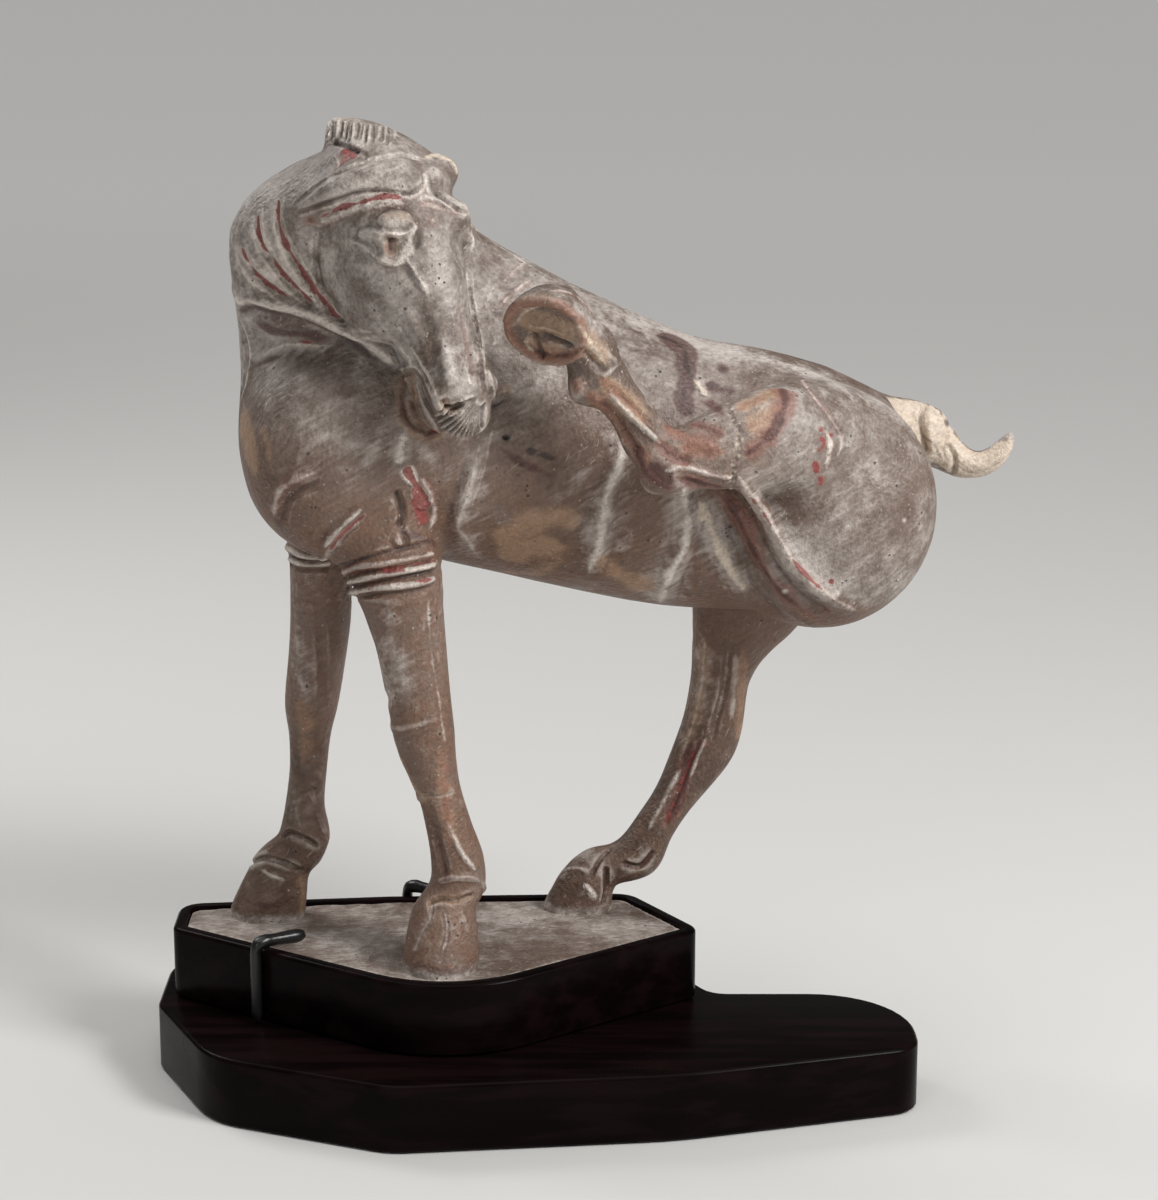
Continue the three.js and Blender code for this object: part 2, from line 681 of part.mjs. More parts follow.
/** The folds that the turned neck, the breast and the lifted thigh press into the skin. */
function modelFolds(clay) {
  const fromFront = vec(0.45, 0.9, 0);
  const underJaw = [[-124, 30, 334], [-109, 18, 330], [-90, 9, 333], [-76, 6, 336]];
  clay.cut(stroke(clay, underJaw, 8, 4, fromFront), 5);
  const neckRoll = [[-127, 34, 352], [-102, 11, 346], [-85, 9, 341], [-72, 3, 336], [-62, 0, 328]];
  clay.add(stroke(clay, neckRoll, 4.5, -1.5, fromFront), 3);
  const pressed = [
    [[-124, 25, 372], [-115, 15, 361], [-100, 8, 352]],
    [[-115, 18, 378], [-110, 8, 370], [-103, 6, 360], [-91, 7, 351]],
    [[-105, 8, 392], [-102, 0, 385], [-96, -1, 369], [-86, 2, 354], [-80, 0, 345]],
  ];
  for (const marks of pressed) clay.cut(stroke(clay, marks, 3, 1, fromFront), 2);
  const groin = [[72, 21, 262], [79, 22, 248], [88, 25, 230], [98, 28, 214]];
  clay.cut(stroke(clay, groin, 8, 3), 6);
  const thighRidge = [
    [83, -14, 281],
    [95, 12, 260],
    [103, 10, 244],
    [112, 11, 233],
    [123, 14, 224],
    [135, 19, 217],
  ];
  clay.add(stroke(clay, thighRidge, 4, -1.5), 3);
  const flankRidges = [
    [[32, 12, 278], [27, 20, 254], [21, 34, 230]],
    [[-24, 10, 284], [-29, 15, 266], [-33, 21, 248]],
  ];
  for (const marks of flankRidges) clay.add(stroke(clay, marks, 5, -3.4), 4);
  for (const level of [227, 234, 241]) clay.add(lump([-60, 17, level], [20, 20.5, 2.6]), 2);
  clay.add(lump([-94, 59, 236], [16.5, 18, 3]), 2);
}

/** The whole figure in its own clay. */
function modelHorse() {
  const clay = new Clay();
  modelTrunk(clay);
  modelNeck(clay);
  modelHaunches(clay);
  modelStandingLegs(clay);
  modelLiftedLeg(clay);
  modelTail(clay);
  modelHead(clay);
  modelMane(clay);
  modelFolds(clay);
  return clay;
}

/** A closed mesh's corners and triangles as a geometry. */
function geometryOf({ points, triangles }) {
  const geometry = new THREE.BufferGeometry();
  geometry.setAttribute("position", new THREE.Float32BufferAttribute(points, 3));
  geometry.setIndex(triangles);
  geometry.computeVertexNormals();
  return geometry;
}

/** The figure at its own height, with its hooves in the slab's top. */
function horseGeometry() {
  const geometry = geometryOf(thin(skin(modelHorse(), CELL), HORSE_TRIANGLES));
  geometry.translate(0, 0, -MODELLED_FLOOR);
  geometry.scale(SCALE, SCALE, SCALE);
  geometry.translate(0, 0, SLAB_TOP);
  return geometry;
}

// Outlines as corners [x, y, rounding], anticlockwise from above: the slab's, and the lower
// board's before it is grown by its margin.
const SLAB_CORNERS = [
  [-38.7, -24.3, 51.9],
  [63.3, 52, 1],
  [37.3, 92.3, 6.9],
  [-69.6, 88.4, 53.9],
  [-158.8, 79, 4.9],
  [-158.4, 54.8, 1],
];
const PLINTH_CORNERS = [
  [-60, -36.1, 12.4],
  [55.4, -23.6, 136.4],
  [150.4, 3.3, 1],
  [150.4, 43.4, 30.4],
  [69.1, 43.4, 25.6],
  [42.3, 90.2, 1],
  [-157.4, 84.8, 1.4],
  [-157.4, 47.1, 1],
  [-131.5, -6.9, 26.4],
];

/** An outline with rounded corners, grown outwards by a margin. */
function outline(corners, margin) {
  const shape = [];
  const count = corners.length;
  const grown = corners.map(([x, y, rounding], i) => {
    const [px, py] = corners[(i + count - 1) % count];
    const [nx, ny] = corners[(i + 1) % count];
    const before = new THREE.Vector2(x - px, y - py).normalize();
    const after = new THREE.Vector2(nx - x, ny - y).normalize();
    const turn = Math.sign(before.cross(after));
    const push = margin / (1 + before.dot(after));
    const corner = new THREE.Vector2(
      x * SCALE + push * (before.y + after.y),
      y * SCALE - push * (before.x + after.x),
    );
    return { corner, before, after, turn, rounding: Math.max(0.5, rounding * SCALE + turn * margin) };
  });
  for (const { corner, before, after, turn, rounding } of grown) {
    const angle = Math.acos(before.dot(after));
    const reach = rounding * Math.tan(angle / 2);
    const start = corner.clone().addScaledVector(before, -reach);
    const inward = new THREE.Vector2(-before.y, before.x).multiplyScalar(turn * rounding);
    const centre = start.clone().add(inward);
    const steps = Math.max(2, Math.ceil(angle * Math.sqrt(rounding)));
    for (let i = 0; i <= steps; i++) {
      const spoke = inward.clone().negate().rotateAround(new THREE.Vector2(), (turn * angle * i) / steps);
      shape.push(centre.clone().add(spoke));
    }
  }
  return shape;
}

/** A board of a given outline between two levels, with its edges rounded over. */
function board(points, bottom, top, rounding) {
  const geometry = new THREE.ExtrudeGeometry(new THREE.Shape(points), {
    depth: top - bottom - 2 * rounding,
    bevelEnabled: rounding > 0,
    bevelThickness: rounding,
    bevelSize: rounding,
    bevelOffset: -rounding,
    bevelSegments: 1,
  });
  geometry.translate(0, 0, bottom + rounding);
  return geometry;
}

/** A closed geometry as a solid that can be joined and cut. */
function solid(geometry) {
  const bare = new THREE.BufferGeometry();
  bare.setAttribute("position", geometry.getAttribute("position"));
  if (geometry.index) bare.setIndex(geometry.index);
  const merged = mergeVertices(bare, 1e-4);
  const mesh = new wasm.Mesh({
    numProp: 3,
    vertProperties: new Float32Array(merged.getAttribute("position").array),
    triVerts: new Uint32Array(merged.index.array),
  });
  return wasm.Manifold.ofMesh(mesh);
}

/** A joined or cut solid as a geometry. */
function geometryFrom(shape) {
  const mesh = shape.getMesh();
  return geometryOf({ points: Array.from(mesh.vertProperties), triangles: Array.from(mesh.triVerts) });
}

/** A round rod along a bent route, with narrowed ends. Each station is [x, y, z, radius]. */
function rod(stations, sides = 8, steps = 3) {
  const places = stations.map(([x, y, z]) => vec(x, y, z));
  const route = new THREE.CatmullRomCurve3(places, false, "catmullrom", 0.4);
  const girth = new THREE.CatmullRomCurve3(stations.map((station) => vec(station[3], 0, 0)));
  const count = (stations.length - 1) * steps;
  const frames = route.computeFrenetFrames(count, false);
  const points = [];
  const triangles = [];
  for (let i = 0; i <= count; i++) {
    const centre = route.getPointAt(i / count);
    const end = i === 0 || i === count ? 0.6 : 1;
    const radius = girth.getPoint(route.getUtoTmapping(i / count)).x * end;
    for (let j = 0; j < sides; j++) {
      const turn = (2 * Math.PI * j) / sides;
      const spoke = centre.clone()
        .addScaledVector(frames.normals[i], radius * Math.cos(turn))
        .addScaledVector(frames.binormals[i], radius * Math.sin(turn));
      points.push(...spoke.toArray());
    }
  }
  for (let i = 0; i < count; i++) {
    for (let j = 0; j < sides; j++) {
      const [a, b] = [i * sides + j, i * sides + ((j + 1) % sides)];
      triangles.push(a, b, b + sides, a, b + sides, a + sides);
    }
  }
  for (let j = 1; j < sides - 1; j++) {
    const last = count * sides;
    triangles.push(0, j + 1, j, last, last + j, last + j + 1);
  }
  return geometryOf({ points, triangles });
}

/** Where an outline is met from a place inside it, and the way that the wall there faces. */
function wallMet(points, from, towards) {
  for (let i = 0; i < points.length; i++) {
    const start = points[i];
    const side = points[(i + 1) % points.length].clone().sub(start);
    const turn = side.cross(towards);
    if (turn >= 0) continue;
    const share = from.clone().sub(start).cross(towards) / turn;
    if (share < 0 || share > 1) continue;
    return {
      wall: start.clone().addScaledVector(side, share),
      outwards: new THREE.Vector2(side.y, -side.x).normalize(),
    };
  }
  throw new Error("the outline isn't met");
}

/**
 * A clip: a rod up the collar's wall, bent over the rim and laid along the slab. Its bend and its
 * tip are thicker than the rod, so they stand as much higher.
 */
function clip(points, from, towards, over) {
  const { wall, outwards } = wallMet(points, from, towards);
  const foot = wall.clone().addScaledVector(outwards, CLIP_RADIUS + 2 * GLUE_GAP);
  const station = (reach, height, share) => {
    const spot = foot.clone().addScaledVector(over, reach * CLIP_REACH);
    return [spot.x, spot.y, height, share * CLIP_RADIUS];
  };
  const lying = (share) => COLLAR_TOP + GLUE_GAP + share * CLIP_RADIUS;
  return rod([
    station(0, PLINTH_THICKNESS + 2 * GLUE_GAP, 1),
    station(0, COLLAR_TOP - CLIP_RADIUS, 1),
    station(0, COLLAR_TOP + CLIP_RADIUS / 2, 1),
    station(0.1, lying(CLIP_BEND), CLIP_BEND),
    station(0.35, lying(CLIP_BEND), 1.1),
    station(0.8, lying(CLIP_TIP), CLIP_TIP),
    station(1, lying(CLIP_TIP), CLIP_TIP),
  ]);
}

const COLLAR_MARGIN = SLAB_CLEARANCE + RIM_WIDTH;
const slab = solid(board(outline(SLAB_CORNERS, 0), SLAB_BOTTOM, SLAB_TOP, 0));
const horseAndSlab = solid(horseGeometry()).add(slab);
const recess = solid(board(outline(SLAB_CORNERS, SLAB_CLEARANCE), RECESS_FLOOR, COLLAR_TOP + 1, 0));
const collarBottom = PLINTH_THICKNESS + GLUE_GAP;
const collarOutline = outline(SLAB_CORNERS, COLLAR_MARGIN);
const collarBlock = solid(board(collarOutline, collarBottom, COLLAR_TOP, EDGE_ROUNDING));
const plinthOutline = outline(PLINTH_CORNERS, COLLAR_MARGIN + PLINTH_LEDGE);
const plinth = board(plinthOutline, 0, PLINTH_THICKNESS, EDGE_ROUNDING);

// Each clip holds the wall that is met from one place in the slab, going one way, and its tip
// reaches over the slab another way.
const flat = (x, y) => new THREE.Vector2(x, y);
const clipsFrom = flat(-62, 40).multiplyScalar(SCALE);
const leftClip = clip(collarOutline, clipsFrom, flat(-0.97, -0.26), flat(0.85, 0.53));
const rearClip = clip(collarOutline, clipsFrom, flat(0, 1), flat(0.85, -0.53));

const figure = new THREE.Group();

/** Adds a named piece in its own material. */
function place(name, geometry, color, roughness) {
  const mesh = new THREE.Mesh(geometry, new THREE.MeshStandardMaterial({ color, roughness, metalness: 0 }));
  mesh.name = name;
  figure.add(mesh);
}

place("pottery_horse", geometryFrom(horseAndSlab), 0x8f8179, 0.8);
place("stand_collar", geometryFrom(collarBlock.subtract(recess)), 0x1c0f0f, 0.3);
place("stand_plinth", plinth, 0x1c0f0f, 0.3);
place("left_clip", leftClip, 0x101010, 0.35);
place("rear_clip", rearClip, 0x101010, 0.35);

export default figure;
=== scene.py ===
import logging
import math
from collections.abc import Callable
from dataclasses import dataclass, field
from enum import Enum

import bpy
import numpy as np
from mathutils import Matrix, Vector, noise
from mathutils.bvhtree import BVHTree


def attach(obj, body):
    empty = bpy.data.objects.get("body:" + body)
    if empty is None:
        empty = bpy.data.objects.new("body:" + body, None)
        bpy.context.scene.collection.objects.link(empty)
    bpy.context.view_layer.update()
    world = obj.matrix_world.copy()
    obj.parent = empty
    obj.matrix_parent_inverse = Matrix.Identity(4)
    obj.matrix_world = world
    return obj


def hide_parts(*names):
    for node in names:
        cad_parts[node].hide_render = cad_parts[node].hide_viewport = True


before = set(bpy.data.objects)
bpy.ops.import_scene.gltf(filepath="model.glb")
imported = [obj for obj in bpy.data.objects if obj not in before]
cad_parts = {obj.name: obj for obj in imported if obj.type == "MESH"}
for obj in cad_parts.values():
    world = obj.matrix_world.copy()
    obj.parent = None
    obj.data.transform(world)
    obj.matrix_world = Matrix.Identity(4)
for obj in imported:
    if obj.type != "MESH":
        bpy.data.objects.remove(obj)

log = logging.getLogger("pottery_horse")

MM = 0.001
REACH_MM = 6.0
REST = "rest"
HOLLOW = "hollow"
PIXEL_STEP = 3.0
SEARCH_DEPTHS = tuple(1.15 + 0.01 * i for i in range(32))
FORM_WAVE_MM = 9.0


class Pigment(Enum):
    """What lies on the clay. Each value names the mesh attribute that holds it."""

    SLIP = "slip"
    RED = "red"
    OCHRE = "ochre"
    UMBER = "umber"
    # Near-black: real stains, and painted shade in grooves, pits and hollows.
    STAIN = "stain"
    CREAM = "cream"
    # Pale film: thin slip, and painted sheen where the clay shines.
    HAZE = "haze"
    ROSE = "rose"


@dataclass(frozen=True)
class StudioCamera:
    """The camera at the photograph's place, tilt and lens, for a frame of 1158 by 1200."""

    place: tuple[float, float, float] = (0.017, -1.21228, 0.5294)
    tilt_deg: float = 14.0
    lens_mm: float = 90.0
    sensor_mm: float = 36.0
    width: int = 1158
    height: int = 1200

    def ray(self, u: float, v: float) -> tuple[Vector, Vector]:
        """The line of sight through a pixel.

        Args:
            u: Pixels from the frame's left edge.
            v: Pixels from its top edge.

        Returns:
            The camera's place and the direction of sight.
        """
        tilt = math.radians(self.tilt_deg)
        reach = self.lens_mm / self.sensor_mm * self.height
        ahead = Vector((0.0, math.cos(tilt), -math.sin(tilt)))
        above = Vector((0.0, math.sin(tilt), math.cos(tilt)))
        way = ahead * reach + Vector((u - self.width / 2, 0.0, 0.0)) + above * (self.height / 2 - v)
        return Vector(self.place), way.normalized()

    def build(self) -> bpy.types.Object:
        """Adds the camera and makes it the scene's own.

        Returns:
            The camera.
        """
        data = bpy.data.cameras.new("studio_camera")
        data.lens, data.sensor_width = self.lens_mm, self.sensor_mm
        data.clip_start, data.clip_end = 0.05, 20.0
        camera = bpy.data.objects.new("studio_camera", data)
        camera.location = self.place
        camera.rotation_euler = (math.radians(90.0 - self.tilt_deg), 0.0, 0.0)
        bpy.context.scene.collection.objects.link(camera)
        bpy.context.scene.camera = camera
        return camera


@dataclass(frozen=True)
class Line:
    """A tool's or brush's way over the clay.

    Attributes:
        marks: Its points, as pixels of the camera's frame.
        width: Half width of the form that it leaves, in millimetres.
        lift: Height of that form, less than zero where it is pressed in.
        paints: Half width, in millimetres, of each pigment laid along it.
        ends: The share of its length over which each end runs out.
    """

    marks: tuple[tuple[float, float], ...]
    width: float = 0.0
    lift: float = 0.0
    paints: tuple[tuple[Pigment, float], ...] = ()
    ends: float = 0.3


def line(marks: tuple, width: float = 0.0, lift: float = 0.0, ends: float = 0.3, **paints: float) -> Line:
    """A line from its marks, its form and the half width of each pigment by its name.

    Args:
        marks: Pixels of the camera's frame.
        width: Half width of the form in millimetres.
        lift: Height of the form in millimetres.
        ends: The share of the length over which each end runs out.
        **paints: Half widths in millimetres by pigment.

    Returns:
        The line.
    """
    laid = tuple((Pigment[name.upper()], amount) for name, amount in paints.items())
    return Line(tuple(marks), width, lift, laid, ends)


def spot(u: float, v: float, width: float = 0.0, lift: float = 0.0, **paints: float) -> Line:
    """A dab at one pixel, with the same values as a line."""
    return line(((u - 0.5, v), (u + 0.5, v)), width, lift, 0.0, **paints)


def shifted(marks: tuple, du: float, dv: float) -> tuple:
    """The same marks moved over by some pixels."""
    return tuple((u + du, v + dv) for u, v in marks)


def select_only(piece: bpy.types.Object) -> None:
    """Makes one piece the selected and active one."""
    bpy.ops.object.select_all(action="DESELECT")
    piece.select_set(True)
    bpy.context.view_layer.objects.active = piece


def apply_modifier(piece: bpy.types.Object, kind: str, **values: object) -> None:
    """Adds a modifier with some values and applies it.

    Args:
        piece: The piece that it works on.
        kind: The modifier's type.
        **values: Its settings.
    """
    select_only(piece)
    bpy.ops.object.modifier_add(type=kind)
    modifier = piece.modifiers[-1]
    for name, value in values.items():
        setattr(modifier, name, value)
    bpy.ops.object.modifier_apply(modifier=modifier.name)


def copy_of(node: str, name: str) -> bpy.types.Object:
    """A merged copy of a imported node, with a mesh of its own.

    Args:
        node: The node's name.
        name: The new piece's name.

    Returns:
        The copy, in the scene.
    """
    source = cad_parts[node]
    mesh = source.data.copy()
    mesh.name = name
    mesh.materials.clear()
    piece = bpy.data.objects.new(name, mesh)
    bpy.context.scene.collection.objects.link(piece)
    select_only(piece)
    bpy.ops.object.mode_set(mode="EDIT")
    bpy.ops.mesh.select_all(action="SELECT")
    bpy.ops.mesh.remove_doubles(threshold=1e-6)
    bpy.ops.object.mode_set(mode="OBJECT")
    return piece


def read_points(mesh: bpy.types.Mesh) -> np.ndarray:
    """A mesh's points in millimetres, a row each."""
    values = np.empty(3 * len(mesh.vertices), np.float32)
    mesh.vertices.foreach_get("co", values)
    return values.reshape(-1, 3).astype(float) / MM


def read_normals(mesh: bpy.types.Mesh) -> np.ndarray:
    """A mesh's normals at its points, a row each."""
    values = np.empty(3 * len(mesh.vertices), np.float32)
    mesh.vertex_normals.foreach_get("vector", values)
    return values.reshape(-1, 3).astype(float)


def write_points(mesh: bpy.types.Mesh, points: np.ndarray) -> None:
    """Moves a mesh's points to places in millimetres."""
    mesh.vertices.foreach_set("co", (points * MM).astype(np.float32).ravel())
    mesh.update()


def smooth_curve(marks: np.ndarray, step: float) -> np.ndarray:
    """Points at even steps along a smooth curve through some marks.

    Args:
        marks: The marks, a row each.
        step: The largest distance between points.

    Returns:
        The points, a row each.
    """
    if len(marks) < 3:
        padded = np.vstack([2 * marks[0] - marks[-1], marks, 2 * marks[-1] - marks[0]])
    else:
        padded = np.vstack([2 * marks[0] - marks[1], marks, 2 * marks[-1] - marks[-2]])
    points = []
    for i in range(1, len(padded) - 2):
        p0, p1, p2, p3 = padded[i - 1 : i + 3]
        count = max(1, math.ceil(np.linalg.norm(p2 - p1) / step))
        t = (np.arange(count) / count)[:, None]
        bend = 2 * p0 - 5 * p1 + 4 * p2 - p3
        twist = 3 * p1 - p0 - 3 * p2 + p3
        points.append(p1 + 0.5 * t * (p2 - p0) + 0.5 * t**2 * bend + 0.5 * t**3 * twist)
    return np.vstack([*points, padded[-2:-1]])


def nearest_on(path: np.ndarray, points: np.ndarray) -> tuple[np.ndarray, np.ndarray, np.ndarray]:
    """How far points are from a path, and where along it they are nearest.

    Args:
        path: The path's points, a row each.
        points: The points, a row each.

    Returns:
        Each point's distance, its share of the path's length, and its way along the path.
    """
    starts, sides = path[:-1], np.diff(path, axis=0)
    lengths = np.maximum(np.linalg.norm(sides, axis=1), 1e-6)
    reached = np.concatenate([[0.0], np.cumsum(lengths)])
    best = np.full(len(points), np.inf)
    share = np.zeros(len(points))
    for start, side, length, before in zip(starts, sides, lengths, reached):
        t = np.clip((points - start) @ side / length**2, 0.0, 1.0)
        gap = np.linalg.norm(points - start - t[:, None] * side, axis=1)
        closer = gap < best
        best[closer] = gap[closer]
        share[closer] = (before + t[closer] * length) / reached[-1]
    return best, share, share * reached[-1]


def waver(path: np.ndarray, along: np.ndarray, wave: float) -> np.ndarray:
    """An uneven hand's swing between about -1 and 1 along a path.

    Args:
        path: The path, whose first point sets where the swing starts.
        along: Places along it, in millimetres.
        wave: The length of the swing in millimetres.

    Returns:
        The swing at each place.
    """
    start = float(path[0].sum())
    turn = along / wave
    return 0.6 * np.sin(turn * 2.0 + start) + 0.4 * np.sin(turn * 5.3 + 1.7 * start)


class ClaySkin:
    """A dense clay mesh that lines are pressed, raised and painted on."""

    def __init__(self, piece: bpy.types.Object, camera: StudioCamera) -> None:
        """Keeps the piece and lays its surface out for tracing.

        Args:
            piece: The clay.
            camera: The camera whose pixels the marks are in.
        """
        self.piece = piece
        self.camera = camera
        self.tree = BVHTree.FromObject(piece, bpy.context.evaluated_depsgraph_get())

    def place_of(self, mark: tuple[float, float]) -> tuple[float, float, float]:
        """Where a mark falls on the clay, or the clay's nearest place where it misses.

        Args:
            mark: A pixel of the camera's frame.

        Returns:
            The place in millimetres.
        """
        origin, way = self.camera.ray(*mark)
        hit = self.tree.ray_cast(origin, way)[0]
        if hit is None:
            found = [self.tree.find_nearest(origin + way * depth) for depth in SEARCH_DEPTHS]
            hit = min(found, key=lambda entry: entry[3])[0]
        return tuple(hit / MM)

    def trace(self, way: Line) -> np.ndarray:
        """A line's path on the surface, in millimetres."""
        marks = smooth_curve(np.array(way.marks, float), PIXEL_STEP)
        return np.array([self.place_of(tuple(mark)) for mark in marks])

    def work(self, lines: list[Line]) -> list[tuple[Line, np.ndarray]]:
        """Presses and raises lines in the clay.

        Args:
            lines: The lines, in the order in which they are worked.

        Returns:
            Each line with its path.
        """
        rest = read_points(self.piece.data)
        normals = read_normals(self.piece.data)
        layer = self.piece.data.attributes.new(REST, "FLOAT_VECTOR", "POINT")
        layer.data.foreach_set("vector", rest.astype(np.float32).ravel())
        points = rest.copy()
        traced = [(way, self.trace(way)) for way in lines]
        for way, path in traced:
            if not way.lift:
                continue
            near = within(rest, path, 2.0 * way.width)
            gap, share, along = nearest_on(path, rest[near])
            form = np.clip(1.0 - (gap / (2.0 * way.width)) ** 2, 0.0, 1.0) ** 2
            form *= run_out(share, way.ends) * (1.0 + 0.2 * waver(path, along, FORM_WAVE_MM))
            points[near] += normals[near] * (way.lift * form)[:, None]
        write_points(self.piece.data, points)
        return traced


def paint(mesh: bpy.types.Mesh, traced: list[tuple[Line, np.ndarray]]) -> None:
    """Writes how far inside each pigment's lines every point is, in millimetres.

    Args:
        mesh: The mesh.
        traced: Lines with their paths.
    """
    points = read_points(mesh)
    if REST in mesh.attributes:
        values = np.empty(3 * len(points), np.float32)
        mesh.attributes[REST].data.foreach_get("vector", values)
        points = values.reshape(-1, 3).astype(float)
        mesh.attributes.remove(mesh.attributes[REST])
    for pigment in Pigment:
        inside = np.full(len(points), -REACH_MM)
        for way, path in traced:
            for laid, half_width in way.paints:
                if laid is not pigment:
                    continue
                near = within(points, path, half_width + REACH_MM)
                gap, share, along = nearest_on(path, points[near])
                breadth = 1.0 + 0.35 * waver(path, along, 4.0 + 2.0 * abs(half_width))
                depth = half_width * breadth * run_out(share, 0.6 * way.ends) - gap
                inside[near] = np.maximum(inside[near], depth)
        layer = mesh.attributes.new(pigment.value, "FLOAT", "POINT")
        layer.data.foreach_set("value", inside.astype(np.float32))


def within(points: np.ndarray, path: np.ndarray, margin: float) -> np.ndarray:
    """Which points lie in the box round a path, grown by a margin."""
    low, high = path.min(axis=0) - margin, path.max(axis=0) + margin
    return np.nonzero(np.all((points > low) & (points < high), axis=1))[0]


def run_out(share: np.ndarray, ends: float) -> np.ndarray:
    """How full a line is along its length, from 0 at its ends to 1 between them."""
    if ends <= 0.0:
        return np.ones_like(share)
    t = np.clip(np.minimum(share, 1.0 - share) / ends, 0.0, 1.0)
    return t * (2.0 - t)


def relief(mesh: bpy.types.Mesh, rounds: int) -> np.ndarray:
    """How far a smoothed skin stands above each point, in millimetres: hollows are positive.

    Args:
        mesh: The mesh.
        rounds: How many times the skin is smoothed.

    Returns:
        A value for each point.
    """
    ends = np.empty(2 * len(mesh.edges), np.int32)
    mesh.edges.foreach_get("vertices", ends)
    a, b = ends.reshape(-1, 2).T
    points, normals = read_points(mesh), read_normals(mesh)
    count = len(points)
    shares = np.maximum(np.bincount(a, minlength=count) + np.bincount(b, minlength=count), 1)
    soft = points.copy()
    for _ in range(rounds):
        for axis in range(3):
            around = np.bincount(a, soft[b, axis], count) + np.bincount(b, soft[a, axis], count)
            soft[:, axis] = 0.4 * soft[:, axis] + 0.6 * around / shares
    return np.einsum("ij,ij->i", soft - points, normals)


class Wire:
    """A shader value that takes part in sums, products and comparisons."""

    def __init__(self, sheet: "Sheet", socket: bpy.types.NodeSocket) -> None:
        """Keeps the socket and the sheet that its nodes go on."""
        self.sheet = sheet
        self.socket = socket

    def maths(self, operation: str, *values: object) -> "Wire":
        """A Math node on some values.

        Args:
            operation: The node's operation.
            *values: Wires or numbers.

        Returns:
            Its result.
        """
        return self.sheet.node("ShaderNodeMath", {"operation": operation}, dict(enumerate(values)))

    def __add__(self, other: object) -> "Wire":
        """This value and another."""
        return self.maths("ADD", self, other)

    __radd__ = __add__

    def __mul__(self, other: object) -> "Wire":
        """This value times another."""
        return self.maths("MULTIPLY", self, other)

    def __sub__(self, other: object) -> "Wire":
        """This value less another."""
        return self.maths("SUBTRACT", self, other)

    def __rsub__(self, other: object) -> "Wire":
        """Another value less this one."""
        return self.maths("SUBTRACT", other, self)

    def step(self, low: float, high: float) -> "Wire":
        """A soft step from 0 at one value to 1 at another."""
        settings = {"interpolation_type": "SMOOTHSTEP"}
        inputs = {"Value": self, "From Min": low, "From Max": high}
        return self.sheet.node("ShaderNodeMapRange", settings, inputs)

    def most(self, other: object) -> "Wire":
        """The larger of two values."""
        return self.maths("MAXIMUM", self, other)


Colour = tuple[float, float, float]


class Sheet:
    """One material's nodes."""

    def __init__(self, name: str) -> None:
        """Starts a material with a Principled shader.

        Args:
            name: The material's name.
        """
        self.material = bpy.data.materials.new(name)
        self.material.use_nodes = True
        self.tree = self.material.node_tree
        self.shader = next(n for n in self.tree.nodes if n.type == "BSDF_PRINCIPLED")
        self.place = self.node("ShaderNodeTexCoord", {}, {}, "Object")

    def node(self, kind: str, settings: dict, inputs: dict, output: object = 0) -> Wire:
        """Adds a node.

        Args:
            kind: The node's type.
            settings: Its settings, which are set first.
            inputs: Values or wires by socket.
            output: Which output is meant.

        Returns:
            That output.
        """
        made = self.tree.nodes.new(kind)
        for name, value in settings.items():
            setattr(made, name, value)
        for name, value in inputs.items():
            self.feed(made.inputs[name], value)
        return Wire(self, made.outputs[output])

    def feed(self, socket: bpy.types.NodeSocket, value: object) -> None:
        """Puts a value on a socket or links a wire to it."""
        if isinstance(value, Wire):
            self.tree.links.new(value.socket, socket)
        elif isinstance(value, tuple) and len(value) == 3 and socket.type == "RGBA":
            socket.default_value = (*value, 1.0)
        else:
            socket.default_value = value

    def grain(self, scale: float, detail: float = 3.0, longer: float = 1.0, turn: float = 0.0) -> Wire:
        """Soft noise over the piece, drawn out into strokes where it is longer than wide.

        Args:
            scale: Waves to the metre.
            detail: How many finer waves are added.
            longer: How many times longer than wide its marks are.
            turn: How the strokes are turned from level, in radians.

        Returns:
            Values about 0.5.
        """
        drawn = {"Vector": self.place, "Scale": (longer, 1.0, 1.0), "Rotation": (0.0, -turn, 0.0)}
        where = self.node("ShaderNodeMapping", {"vector_type": "TEXTURE"}, drawn)
        return self.node("ShaderNodeTexNoise", {}, {"Vector": where, "Scale": scale, "Detail": detail})

    def pits(self, scale: float) -> Wire:
        """The distance to the nearest of some scattered points, in their own spacing."""
        return self.node("ShaderNodeTexVoronoi", {}, {"Vector": self.place, "Scale": scale}, "Distance")

    def axis(self, name: str) -> Wire:
        """How far along one axis a place is, in metres."""
        return self.node("ShaderNodeSeparateXYZ", {}, {"Vector": self.place}, name)

    def layer(self, name: str) -> Wire:
        """A value that the mesh holds at its points."""
        return self.node("ShaderNodeAttribute", {"attribute_name": name}, {}, "Fac")

    def blend(self, factor: object, under: object, over: object, mode: str = "MIX") -> Wire:
        """Two colours mixed.

        Args:
            factor: How much of the second shows.
            under: The first colour.
            over: The second colour.
            mode: How they are mixed.

        Returns:
            The mixed colour.
        """
        settings = {"data_type": "RGBA", "blend_type": mode}
        return self.node("ShaderNodeMix", settings, {0: factor, 6: under, 7: over}, 2)

    def bump(self, height: Wire, distance: float) -> Wire:
        """A normal from a height, for a relief of so many metres."""
        return self.node("ShaderNodeBump", {}, {"Height": height, "Distance": distance, "Strength": 1.0})

    def finish(self, **values: object) -> bpy.types.Material:
        """Feeds the shader and gives the material.

        Args:
            **values: Values or wires by the socket's name, with underscores for spaces.

        Returns:
            The material.
        """
        for name, value in values.items():
            self.feed(self.shader.inputs[name.replace("_", " ")], value)
        return self.material


